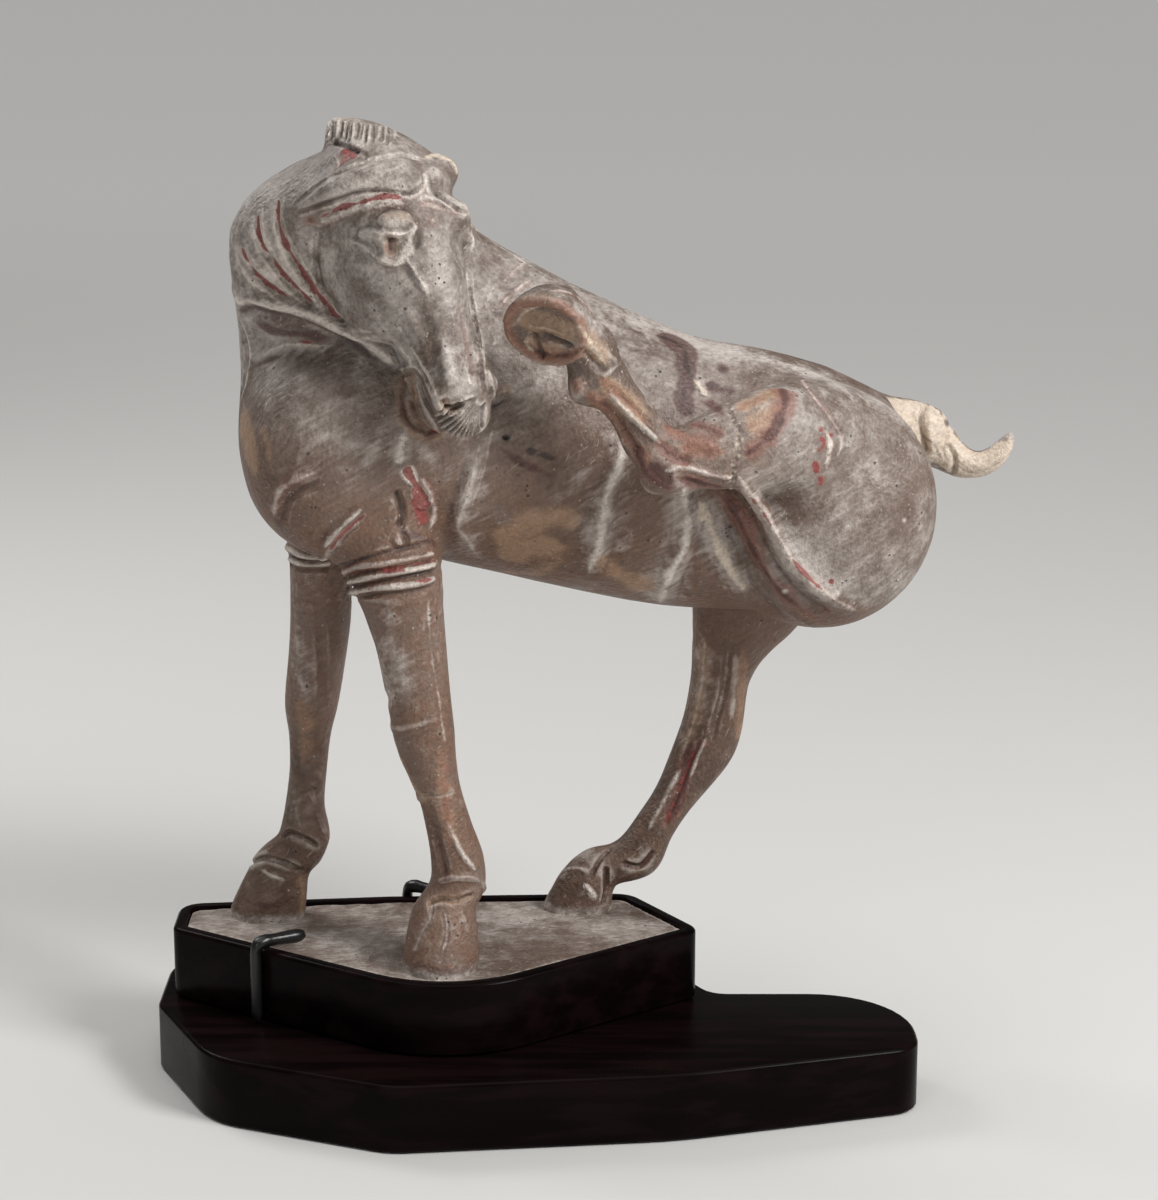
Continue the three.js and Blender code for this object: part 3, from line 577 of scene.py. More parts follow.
class ClayMarks:
    """The uneven marks of hand, brush and burial that the clay's colours follow."""

    def __init__(self, s: Sheet) -> None:
        """Lays the marks out.

        Args:
            s: The sheet that they go on.
        """
        self.broad, self.middle, self.fine = s.grain(22.0, 4.0), s.grain(120.0, 6.0), s.grain(620.0, 5.0)
        self.grit = s.grain(1300.0, 2.0)
        self.brushed = s.grain(520.0, 3.0, 9.0, 0.5)
        self.upright = s.grain(380.0, 3.0, 8.0, 1.45)
        self.scratched = s.grain(900.0, 2.0, 16.0, 0.65).most(s.grain(820.0, 2.0, 14.0, 1.2))
        self.ragged = (self.middle - 0.5) * 10.0 + (self.fine - 0.5) * 3.0
        self.rubbed = self.brushed * 0.22 + self.upright * 0.13 + self.middle * 0.35 + self.broad * 0.45
        self.hollow = s.layer(HOLLOW)


@dataclass(frozen=True)
class PaintedClay:
    """Fired clay with worn slip, red pigment, bare patches and stains, with painted shade in hollows,
    grooves, low down and on the far legs, and painted sheen and highlight in its pale film and edges.

    Places are in metres in the object's own frame.
    """

    grey: Colour = (0.29, 0.245, 0.215)
    brown: Colour = (0.135, 0.092, 0.070)
    # Dark brown of the lower body: partly the clay's own brown, partly painted shade.
    earth_and_shade: Colour = (0.175, 0.092, 0.056)
    # Dark brown painted shade for the lower far legs.
    painted_far_shade: Colour = (0.070, 0.042, 0.028)
    ochre: Colour = (0.40, 0.25, 0.152)
    umber: Colour = (0.078, 0.028, 0.024)
    slip: Colour = (0.74, 0.66, 0.59)
    # Pale film of thin slip, and painted sheen.
    haze: Colour = (0.56, 0.50, 0.455)
    red: Colour = (0.25, 0.045, 0.038)
    rose: Colour = (0.24, 0.100, 0.072)
    # Near-black for real stains and for painted shade in grooves, pits and hollows.
    stain: Colour = (0.03, 0.020, 0.017)
    cream: Colour = (0.66, 0.55, 0.44)
    speck: Colour = (0.022, 0.018, 0.015)
    slab_top: float = 0.064
    breast_height: float = 0.335
    haunch_front: float = 0.085
    haunch_bottom: float = 0.214
    # Top of the painted shade on the far legs, in metres.
    far_shade_top: float = 0.172
    far_side: float = 0.045

    def ground(self, s: Sheet, marks: ClayMarks) -> Wire:
        """The bare clay under a thin film of slip and painted sheen: grey above, browner and partly painted
        shade below, painted shade on the far shins.

        Args:
            s: The material's sheet.
            marks: The clay's marks.

        Returns:
            Its colour.
        """
        x, y, z = s.axis("X"), s.axis("Y"), s.axis("Z")
        off_slab = (z - self.slab_top).step(0.0, 0.004)
        haunch = (x - self.haunch_front).step(0.0, 0.02) * (z - self.haunch_bottom).step(0.0, 0.01)
        # Lower body, less the haunch: browner, with a thinner film; partly the clay's colour, partly painted
        # shade.
        low = (self.breast_height - z).step(0.0, 0.08) * (1.0 - haunch * 0.8) * off_slab
        # Mask of painted shade on the lower far legs, on the far side below the barrel.
        far_shade = (y - self.far_side).step(0.0, 0.02) * (self.far_shade_top - z).step(0.0, 0.045) * off_slab
        mottle = marks.broad * 0.55 + marks.middle * 0.35 + marks.fine * 0.1
        bare = (marks.middle * 1.2 + marks.fine * 0.4).step(0.25, 0.95)
        # Pale film of slip and painted sheen, thinner low down and on the far legs, where shade is painted.
        film = (marks.rubbed + s.layer("haze") * 0.016 - low * 0.075 - far_shade * 0.04).step(0.45, 0.69)
        # Paler slip on convex edges: worn slip, and painted highlight.
        edges = (0.0 - marks.hollow * 2.2 + (marks.middle - 0.5) * 1.8).step(0.45, 1.3)
        colour = s.blend(mottle.step(0.38, 0.59), self.brown, self.grey)
        # Brown patches low down, partly painted shade.
        colour = s.blend(low * bare * 0.9, colour, self.earth_and_shade)
        # Painted shade in patches on the lower far legs.
        colour = s.blend(far_shade * (marks.middle * 1.4).step(0.3, 0.9) * 0.75, colour, self.painted_far_shade)
        colour = s.blend(film * 0.75, colour, self.haze)
        return s.blend(edges * 0.45, colour, self.slip)

    def lay(self, s: Sheet, marks: ClayMarks, under: Wire, pigment: Pigment, **how: float) -> Wire:
        """One pigment laid over a colour.

        Args:
            s: The material's sheet.
            marks: The clay's marks.
            under: The colour that it is laid on.
            pigment: The pigment.
            **how: Its uneven edge, where it starts and is full, in millimetres, and its strength.

        Returns:
            The new colour.
        """
        cover = (s.layer(pigment.value) + marks.ragged * how["uneven"]).step(how["start"], how["full"])
        return s.blend(cover * how["strength"], under, getattr(self, pigment.value))

    def build(self) -> bpy.types.Material:
        """Lays the clay, its film, its pigments and its damage over one another.

        Returns:
            The material.
        """
        s = Sheet("painted_clay")
        marks = ClayMarks(s)
        colour = self.ground(s, marks)
        colour = self.lay(s, marks, colour, Pigment.OCHRE, uneven=0.7, start=-2.5, full=3.0, strength=0.75)
        colour = self.lay(s, marks, colour, Pigment.ROSE, uneven=0.5, start=-1.8, full=2.2, strength=0.7)
        colour = self.lay(s, marks, colour, Pigment.UMBER, uneven=0.5, start=-1.0, full=1.4, strength=0.8)
        # Dirt and painted shade in the hollows: the deeper the hollow, the darker.
        grime_and_shade = (marks.hollow * 1.4 + (marks.fine - 0.5)).step(0.1, 1.4)
        colour = s.blend(grime_and_shade * 0.6, colour, self.stain)
        worn = (s.layer("slip") + marks.ragged * 0.3).step(-0.9, 1.3)
        worn = worn * (0.5 + marks.rubbed.step(0.45, 0.65) * 0.45)
        colour = s.blend(worn, colour, self.slip)
        colour = self.lay(s, marks, colour, Pigment.RED, uneven=0.35, start=-0.2, full=0.4, strength=0.88)
        colour = self.lay(s, marks, colour, Pigment.CREAM, uneven=0.5, start=-0.8, full=1.2, strength=0.9)
        # Stains, and painted shade along pressed grooves and in pits.
        colour = self.lay(s, marks, colour, Pigment.STAIN, uneven=0.3, start=-0.7, full=0.9, strength=0.8)
        shade = 1.0 + (marks.fine - 0.5) * 0.7 + (marks.grit - 0.5) * 0.4 + (marks.brushed - 0.5) * 0.6
        colour = s.blend(1.0, colour, shade, "MULTIPLY")
        dots = (1.0 - s.pits(360.0)).step(0.74, 0.88) * marks.middle.step(0.60, 0.68)
        colour = s.blend(dots * 0.7, colour, self.speck)
        scars = marks.scratched.step(0.66, 0.75) * (1.0 - marks.broad).step(0.44, 0.60) * 0.7
        chalk = (1.0 - s.pits(300.0)).step(0.82, 0.92) * (1.0 - marks.middle).step(0.55, 0.62)
        colour = s.blend(chalk.most(scars) * 0.45, colour, self.slip)
        strokes = marks.fine * 0.6 + marks.middle * 0.6 + marks.brushed * 0.6 + marks.upright * 0.3
        return s.finish(
            Base_Color=colour,
            Roughness=0.34 + marks.middle * 0.3,
            Specular_IOR_Level=0.5,
            Normal=s.bump(strokes - dots * 0.8 + worn * 0.6, 0.0012),
        )


@dataclass(frozen=True)
class DarkHardwood:
    """Close-grained hardwood, almost black, under a thin polish."""

    heart: Colour = (0.0030, 0.0014, 0.0016)
    vein: Colour = (0.0075, 0.0032, 0.0033)

    def build(self) -> bpy.types.Material:
        """The material."""
        s = Sheet("dark_hardwood")
        grain = s.grain(120.0, 4.0, 8.0)
        smears = s.grain(22.0, 3.0)
        colour = s.blend(grain.step(0.4, 0.65), self.heart, self.vein)
        return s.finish(
            Base_Color=colour,
            Roughness=0.16 + grain * 0.1 + smears * 0.1,
            IOR=1.13,
            Normal=s.bump(grain, 0.00012),
        )


@dataclass(frozen=True)
class BlackCoating:
    """The clips' smooth black coat."""

    black: Colour = (0.006, 0.006, 0.006)

    def build(self) -> bpy.types.Material:
        """The material."""
        s = Sheet("black_coating")
        return s.finish(Base_Color=self.black, Roughness=0.28 + s.grain(90.0) * 0.1)


@dataclass(frozen=True)
class PlainFloor:
    """A matte pale sheet, paler towards the back: painted light that makes up for the lamps' falloff over the
    far floor.
    """

    near: Colour = (0.62, 0.61, 0.59)
    far: Colour = (0.93, 0.92, 0.90)

    def build(self) -> bpy.types.Material:
        """The material."""
        s = Sheet("plain_floor")
        # Painted light: paler further back, where the lamps reach less.
        return s.finish(Base_Color=s.blend(s.axis("Y").step(-0.3, 4.0), self.near, self.far), Roughness=0.9)


NECK_FOLDS = (
    ((240, 245), (247, 261), (258, 276), (274, 288), (292, 301)),
    ((258, 212), (258, 230), (264, 248), (279, 268), (296, 288), (314, 304)),
    ((279, 201), (278, 217), (282, 235), (292, 255), (305, 275), (319, 295), (332, 313), (341, 320)),
)


def head_lines() -> list[Line]:
    """The neck's folds, the jaw, the forelock, the eyes and the muzzle."""
    lines = []
    for marks in NECK_FOLDS:
        lines.append(line(shifted(marks, -4, 5), 1.7, 1.0, slip=0.8, haze=2.5))
        lines.append(line(shifted(marks, 5, -4), 1.7, 1.0, slip=0.5))
        lines.append(line(marks, 1.0, -1.6, 0.2, red=1.0, slip=1.7))
    jaw = ((317, 228), (316, 257), (320, 281), (330, 304), (345, 324), (363, 335), (382, 335))
    roll = (
        (236, 301), (250, 299), (270, 304), (292, 309), (314, 317), (337, 328), (359, 339), (381, 353),
        (395, 364),
    )
    crease = ((238, 319), (245, 342), (247, 359), (243, 385), (236, 404))
    lines += [
        line(jaw, 1.6, -1.4, 0.15, slip=0.2, stain=-0.6),
        line(shifted(jaw, 7, -2), 3.5, 1.1, 0.2),
        line(shifted(jaw, -4, 2), 1.2, 0.5, 0.2, slip=0.45),
        line(((330, 245), (332, 275), (345, 300)), haze=3.0),
        line(roll, 2.3, 1.7, 0.1, slip=1.9, haze=6.0),
        line(shifted(roll, 2, 10), 2.4, -1.6, 0.15, umber=1.2),
        line(((255, 322), (275, 331), (300, 334), (330, 338)), umber=2.5),
        line(((300, 341), (312, 342), (325, 343)), ochre=0.5, red=0.4, umber=0.5),
        line(((258, 359), (270, 350), (292, 344), (330, 346)), 1.6, 0.7, slip=0.4, haze=2.5),
        line(crease, 1.6, -1.6, 0.3, stain=0.0),
        line(shifted(crease, 4, 0), 1.5, 0.7, 0.3, slip=0.4),
        line(((252, 262), (262, 285), (275, 297)), haze=2.0),
        line(((300, 228), (303, 250), (310, 268)), haze=2.0),
    ]
    lines += forelock_lines() + eye_lines() + muzzle_lines()
    return lines


def forelock_lines() -> list[Line]:
    """The swept forelock, the clipped mane over it and the broken ears."""
    lower = ((297, 213), (314, 207), (337, 199), (359, 192), (381, 191), (401, 194), (415, 191), (425, 182))
    upper = ((296, 209), (303, 199), (321, 185), (341, 174), (368, 164), (395, 158), (415, 160), (426, 166))
    right = ((434, 193), (448, 203), (461, 211), (467, 211))
    under = ((321, 217), (341, 208), (359, 203), (375, 198), (390, 196), (404, 199))
    under_right = ((421, 203), (437, 207), (448, 210), (459, 214))
    lines = [
        line(lower, 0.7, -1.3, 0.1, stain=-0.5),
        line(shifted(lower, 0, -5), 1.9, 0.7, 0.1),
        line(shifted(lower, 1, 4), 1.2, 0.5, 0.15, slip=0.9, rose=0.4),
        line(shifted(upper, 0, -2), 0.9, -1.0, 0.1, slip=0.3),
        line(((341, 170), (363, 162), (381, 157), (401, 154), (424, 159)), 1.4, 0.5, slip=0.6),
        line(((330, 196), (360, 184), (395, 178)), haze=2.5),
        line(right, 0.7, -1.2, 0.1, stain=-0.5),
        line(shifted(right, 0, -5), 1.8, 0.9, 0.2),
        line(shifted(right, 0, 4), 1.1, 0.4, 0.1, slip=0.5),
        line(under, 0.9, -0.4, 0.1, red=0.85, slip=1.6),
        line(shifted(under, 0, 5), 1.1, 0.3, 0.1, slip=1.3, rose=0.6),
        line(shifted(under, -2, 9), slip=0.4, rose=0.8),
        line(under_right, 0.9, -0.4, 0.1, red=0.2, rose=1.2, slip=0.7),
        line(((425, 172), (427, 181), (430, 190), (434, 196)), 1.3, -1.0, 0.1, slip=0.9),
        line(((417, 200), (426, 197), (438, 200), (452, 206)), slip=0.7),
        spot(310, 220, rose=2.5, ochre=1.5, umber=0.5),
        spot(433, 222, red=0.3, rose=1.5, slip=1.0),
        line(((332, 142), (345, 145), (359, 152)), 0.9, -1.6, 0.05, stain=0.5),
        line(((342, 149), (350, 153), (356, 158)), 2.2, -0.9, red=2.4),
        line(((344, 150), (345, 160), (340, 165)), red=1.2, rose=2.0),
        line(((356, 150), (366, 155), (363, 163)), 0.8, -0.7, 0.1, stain=-0.1),
        line(((334, 155), (338, 162), (337, 172)), rose=1.0, slip=0.3),
        line(((425, 158), (437, 155), (451, 157), (459, 166), (459, 176)), 1.0, 0.5, 0.1, cream=1.4),
    ]
    for i in range(14):
        u = 326.0 + 5.2 * i + 1.2 * math.sin(2.3 * i)
        top = 119.0 + 0.13 * (u - 325.0)
        bottom = 139.0 + 2.5 * math.sin(1.7 * i) + 0.05 * (u - 325.0)
        marks = ((u, top), (u - 0.7, (top + bottom) / 2), (u - 2.2, bottom))
        lines.append(line(marks, 0.6, -1.1, 0.15, stain=0.0))
        lines.append(line(shifted(marks, 2.6, 0), 0.6, 0.4, 0.2, slip=0.2))
    return lines


def eye_lines() -> list[Line]:
    """The near eye with its lids, and what shows of the far one."""
    lower_lid = ((349, 239), (358, 243), (368, 249), (375, 256), (383, 262), (395, 265), (408, 259))
    return [
        spot(388, 243, 6.5, -1.5, haze=3.0),
        line(((386, 219), (396, 217), (407, 219)), 3.3, 1.7, 0.0, ochre=0.5, umber=-0.8),
        line(((379, 216), (386, 210), (397, 208), (408, 211), (414, 218)), 0.8, -0.8, 0.1, umber=0.5),
        line(((381, 225), (388, 229), (397, 231), (406, 229), (412, 225)), 0.7, -0.6, 0.1, stain=-0.3),
        line(((362, 235), (369, 234), (377, 236)), 1.7, 1.0, 0.0, haze=3.5),
        line(((352, 236), (362, 228), (373, 226), (380, 229)), 0.8, -0.6, 0.1, stain=-0.5),
        line(lower_lid, 1.6, 0.4, 0.15, slip=0.6),
        line(shifted(lower_lid, -1, -5)[:4], 0.8, -0.5, 0.1, stain=-0.5),
        line(((381, 234), (392, 233), (402, 234), (414, 229)), 1.3, 0.3, 0.0, slip=0.9),
        line(((414, 229), (410, 238), (407, 250), (399, 261)), 1.9, 0.4, 0.0, slip=1.5),
        line(((387, 240), (392, 245), (394, 252)), 1.9, -1.8, 0.0, ochre=2.0, umber=1.2),
        # Painted shade in the eye's pit.
        spot(395, 243, 1.1, -1.1, stain=0.9),
        line(((384, 241), (386, 249), (391, 257)), rose=0.8, umber=-0.6),
        # Painted shadow beside the eye.
        line(((417, 229), (418, 240), (415, 252)), 0.9, -1.0, 0.2, stain=-0.3),
        line(((405, 259), (414, 270), (422, 284), (429, 297)), 1.2, 0.8, 0.3, slip=0.7),
        line(((402, 266), (410, 277), (418, 290)), 1.4, -0.8, 0.3),
        line(((336, 246), (350, 250), (370, 266)), 2.2, -0.7, 0.3),
        line(((370, 275), (388, 290), (398, 310)), haze=3.0, slip=-1.4),
        line(((366, 268), (378, 276), (384, 286)), haze=2.0, slip=-1.0),
        line(((468, 232), (472, 242), (470, 254)), 1.8, 1.2, 0.2, slip=0.9),
        line(((463, 240), (464, 252), (467, 262)), 0.9, -0.9, 0.2, stain=-0.2),
    ]


def muzzle_lines() -> list[Line]:
    """The nose, nostrils, mouth and the wrinkled upper lip."""
    mouth = ((414, 374), (404, 382), (400, 395), (401, 407), (405, 420), (415, 431), (428, 436), (441, 432))
    parting = ((419, 376), (422, 393), (428, 406), (437, 422), (443, 431))
    nose_line = ((467, 275), (470, 306), (477, 342), (480, 373), (481, 390))
    lines = [
        line(mouth, 1.0, 1.1, 0.05, umber=1.2, ochre=2.0),
        line(parting, 1.2, -2.6, 0.1, stain=0.3),
        line(((412, 384), (412, 402), (419, 420), (430, 428)), 3.2, -1.0, 0.2, ochre=2.4, umber=0.8),
        line(((407, 392), (408, 410), (416, 424)), haze=1.0, slip=-0.9),
        line(((430, 430), (437, 431)), red=0.7, rose=1.2),
        line(((402, 370), (413, 365), (422, 372), (430, 388), (436, 403)), 1.3, 1.1, 0.2, slip=0.6),
        line(((398, 345), (406, 356), (414, 364)), slip=1.6, haze=3.0),
        line(((408, 344), (420, 360), (432, 381), (438, 400)), 1.2, 1.0, 0.25, slip=0.6),
        line(((404, 342), (416, 358), (428, 382)), 0.8, -0.8, 0.25, stain=-0.3),
        line(((398, 326), (402, 332)), slip=1.2, rose=0.8),
        line(((410, 300), (424, 322), (434, 352), (440, 380)), 2.4, -1.3, 0.3),
        # Painted highlight on the nose and on the nostril's bulge, in pale film.
        line(((445, 345), (451, 368), (456, 388)), 4.2, 1.3, 0.4, haze=4.0),
        line(((460, 356), (466, 372), (470, 386)), 2.0, 0.8, 0.2, slip=0.6, haze=3.0),
        # The nostril's opening: pressed in, with painted shade in it.
        line(((443, 399), (447, 407), (454, 409), (462, 404)), 1.3, -2.1, 0.1, stain=0.3, ochre=1.6),
        spot(457, 404, red=0.7),
        line(((440, 403), (445, 413), (454, 416), (464, 410)), 1.2, 0.6, 0.2),
        line(nose_line, 1.1, -0.6, 0.15, slip=0.2),
        line(shifted(nose_line, 5, 0), 0.7, 0.4, 0.2, slip=0.35),
        line(((458, 300), (466, 340), (472, 378)), 0.6, -0.5, 0.3, rose=0.2),
        line(((487, 368), (491, 382), (493, 393), (492, 402)), 1.2, 0.8, 0.1, slip=0.7),
        line(((481, 372), (484, 384), (486, 395)), 0.8, -1.0, 0.1, stain=0.0),
        line(((494, 406), (499, 404), (504, 400)), 0.9, -1.2, 0.0, stain=0.2),
        spot(504, 391, ochre=1.5, cream=0.5),
    ]
    focus = np.array((486.0, 395.0))
    edge = (
        (438, 412), (436, 419), (437, 426), (441, 432), (446, 436), (452, 439), (458, 440),
        (464, 440), (469, 439), (474, 437), (478, 434), (482, 430),
    )
    rim = smooth_curve(np.array(edge, float), 100.0)
    wrinkle = ((0.2, 0.3), (0.6, 1.0), (1.0, 0.0))
    for i, end in enumerate(rim):
        sag = np.array((-1.0, 3.0)) * math.sin(math.pi * i / len(rim))
        marks = tuple(tuple(focus + share * (end - focus) + sag * bow) for share, bow in wrinkle)
        lines.append(line(marks, 0.65, -1.7, 0.15, stain=0.15))
        lines.append(line(shifted(marks, -1.2, -2.2 + 0.2 * i), 0.6, 0.6, 0.3, slip=0.15))
    return lines


def trunk_lines() -> list[Line]:
    """Folds, ribs, worn slip and stains on the breast, barrel and haunch."""
    thigh = ((738, 477), (754, 498), (768, 517), (778, 536), (792, 560), (808, 579), (829, 595), (856, 611))
    fold_a = ((274, 515), (280, 492), (293, 481), (314, 473))
    fold_b = ((329, 553), (339, 538), (352, 526), (365, 515))
    flank_1 = ((623, 439), (618, 466), (607, 493), (602, 520), (599, 541), (588, 573))
    flank_2 = ((682, 485), (687, 509), (687, 530), (682, 549), (669, 573), (660, 603))
    flank_3 = ((698, 498), (711, 528), (722, 554), (733, 573), (746, 592))
    seam = ((727, 404), (733, 420), (739, 434), (738, 450), (733, 466), (733, 477), (730, 488))
    elbow = ((480, 444), (474, 465), (468, 490), (461, 511), (458, 526), (468, 540), (480, 559))
    groove = ((730, 488), (748, 512), (762, 540), (776, 567), (800, 595), (830, 612))
    stifle = ((744, 557), (754, 584), (776, 605), (808, 624), (821, 629))
    lines = [
        line(fold_a, 2.6, 1.3, 0.25, slip=0.8, haze=3.5, rose=1.6),
        line(shifted(fold_a, 6, 8), 2.0, -1.4, 0.3, umber=0.8, red=-0.3),
        line(fold_b, 1.3, -1.3, 0.2, red=0.8, slip=1.0),
        line(shifted(fold_b, -4, -5), 1.8, 0.8, 0.25, slip=0.7),
        line(shifted(fold_b, -9, -9), 2.2, -0.7, 0.3, umber=0.4),
        line(((326, 557), (333, 549), (341, 541)), slip=1.0),
        line(((274, 517), (285, 534), (302, 549), (325, 558)), umber=1.6),
        line(((241, 415), (247, 440), (256, 475)), ochre=6.0),
        line(((262, 425), (268, 450), (272, 475)), ochre=1.5),
        line(((276, 412), (281, 428), (290, 446)), rose=-0.5),
        line(((331, 374), (340, 380), (347, 388)), rose=-0.5),
        line(((246, 372), (262, 363), (282, 356)), umber=1.0),
        line(((405, 431), (400, 448), (400, 465)), 1.4, 0.5, slip=1.8, haze=4.0),
        line(((405, 467), (411, 478), (419, 489), (427, 500)), 1.6, -0.6, 0.1, red=1.7, slip=2.8),
        line(((412, 488), (421, 500), (429, 508)), red=2.3, slip=3.2),
        line(((414, 497), (420, 512), (425, 524)), 0.0, 0.0, 0.15, red=2.5, rose=4.0),
        line(((421, 478), (430, 496), (434, 512), (429, 530)), 1.1, 0.6, 0.1, slip=0.9, rose=1.6),
        line(((398, 530), (420, 538), (436, 545)), 1.6, 0.6, 0.2, umber=1.4, haze=1.5),
        line(((398, 520), (404, 535), (408, 546)), 1.2, -1.2, 0.2, stain=0.4),
        line(((388, 540), (398, 548), (412, 545)), 1.0, -0.8, 0.2, umber=1.0),
        line(((396, 490), (401, 506), (402, 519), (398, 527)), 1.3, -2.0, 0.2, stain=0.7),
        line(((391, 500), (396, 520), (404, 530)), haze=1.5, slip=-0.4),
        line(elbow, 2.2, 1.0, haze=4.5, slip=0.0),
        line(((470, 446), (462, 475), (452, 505), (449, 530)), 1.8, -0.9, 0.2),
        line(((492, 430), (484, 470), (472, 505)), 1.6, -0.6, slip=0.1),
        # Dark spots and a smear below the muzzle: stains, and painted shadow of the head.
        spot(506, 438, 0.9, -1.2, stain=1.5),
        spot(531, 451, stain=2.6),
        line(((538, 452), (546, 456), (560, 461)), stain=1.2),
        spot(521, 465, stain=0.9),
        spot(518, 475, stain=0.7),
        line(((500, 448), (520, 462), (552, 478), (545, 492)), umber=1.5, stain=-1.0),
        line(((497, 524), (512, 519)), slip=0.4),
        line(((500, 548), (515, 532), (540, 520), (562, 516), (578, 530)), ochre=5.5),
        line(((500, 560), (530, 548), (568, 548)), ochre=5.5),
        line(((594, 556), (625, 578), (655, 592)), ochre=4.5, umber=-1.0),
        line(((560, 556), (540, 572), (500, 572)), ochre=2.0),
        line(((656, 335), (674, 342), (685, 352), (686, 366), (692, 378)), umber=5.4, stain=1.0),
        line(((687, 372), (686, 388), (680, 398)), umber=3.2, stain=-0.2),
        spot(723, 369, umber=3.8, stain=1.0),
        line(((683, 388), (684, 404), (692, 415)), umber=3.6, stain=0.4),
        line(((706, 384), (722, 390), (735, 392)), umber=3.0, stain=0.6),
        line(((694, 380), (700, 388), (706, 396)), 1.0, 0.4, cream=0.6, slip=1.2),
        line(((702, 402), (714, 406), (724, 416)), umber=2.4, rose=2.0),
        line(((626, 327), (644, 335)), umber=0.8, stain=-0.2),
        spot(697, 337, umber=1.2),
        line(((737, 410), (760, 399), (782, 389)), rose=0.5, ochre=3.6),
        line(((745, 428), (765, 420), (782, 406)), ochre=4.5, rose=1.0),
        line(((744, 455), (756, 448), (772, 430)), rose=3.6, umber=1.4),
        line(((782, 388), (785, 402), (777, 424), (762, 446)), 1.2, -0.5, 0.2, rose=5.5, umber=2.2),
        line(seam, 0.8, -0.9, 0.1, stain=0.2, cream=0.2),
        line(((802, 380), (816, 399), (829, 415), (843, 437)), 0.8, -0.5, 0.1, slip=0.5, rose=0.9),
        line(((824, 428), (830, 445), (826, 470)), slip=1.2, rose=1.5),
        line(((838, 432), (842, 446), (836, 458)), slip=0.6),
        spot(821, 430, red=1.0),
        spot(831, 435, red=1.1),
        spot(819, 450, red=0.9),
        line(((814, 462), (817, 468), (815, 473)), red=1.2, rose=1.8),
        line(((819, 477), (822, 481), (819, 486)), red=1.1, rose=1.6),
        line(((819, 437), (824, 442), (820, 452)), red=1.0, rose=1.8),
        line(thigh, 2.4, 1.3, 0.15, slip=1.1, rose=1.0),
        line(shifted(thigh, 9, -7), haze=3.0),
        line(((790, 556), (803, 572), (823, 590)), red=0.9),
        line(((748, 492), (760, 508), (771, 524)), red=0.3),
        spot(831, 581, red=0.8),
        line(((718, 492), (736, 514), (752, 548), (775, 586), (800, 608)), umber=1.6, rose=5.5),
        line(groove, 2.4, -1.4, 0.15, umber=0.6, red=-0.1),
        line(stifle, 1.6, 0.8, 0.2, umber=1.0, slip=-0.2),
        line(((708, 492), (731, 530), (751, 570)), 2.6, -1.0, 0.2, umber=-0.4),
        line(((766, 585), (790, 603), (820, 620)), red=0.0, rose=1.4),
    ]
    for marks, breadth, colour in ((flank_1, 2.0, "slip"), (flank_2, 2.0, "slip"), (flank_3, 2.4, "cream")):
        lines.append(line(marks, 1.8 * breadth, 1.5, 0.25, **{colour: 0.85 * breadth, "haze": 9.0}))
        lines.append(line(shifted(marks, 16, 2), 3.6, -1.3, 0.25, umber=0.0))
        lines.append(line(shifted(marks, -15, 0), 3.4, -1.0, 0.25, umber=-0.8))
    for i, (u, v) in enumerate(smooth_curve(np.array(seam, float), 6.0)):
        lines.append(spot(u + 1.5 * math.sin(2.1 * i), v, 0.6, 0.7, cream=0.5))
    for u, v in ((884, 565), (849, 526), (785, 592), (905, 520)):
        lines.append(spot(u, v, 0.9, -1.0, slip=0.9))
    lines += [
        line(((482, 320), (487, 300), (495, 284)), 1.2, 0.6, slip=0.3, haze=2.5),
        line(((500, 306), (514, 292), (530, 280)), 1.1, 0.5, slip=0.4, rose=1.0),
        line(((470, 225), (490, 240), (515, 256), (545, 275)), slip=0.4),
        line(((495, 290), (510, 275), (525, 262)), slip=0.3, rose=0.4),
        line(((472, 216), (480, 222), (487, 230)), cream=0.9, rose=0.8),
        line(((560, 300), (590, 318), (620, 330)), haze=3.0),
        line(((700, 343), (760, 358), (820, 376), (856, 398)), 1.6, 0.5, slip=-0.3, haze=4.5),
        line(((600, 310), (650, 326), (700, 341)), haze=3.0),
        line(((628, 350), (650, 352), (668, 360)), umber=0.5),
        line(((556, 500), (576, 480), (598, 462)), haze=2.5),
        line(((420, 452), (436, 462), (448, 480)), haze=2.0),
        line(((300, 420), (340, 440), (380, 450)), haze=2.5),
    ]
    return lines


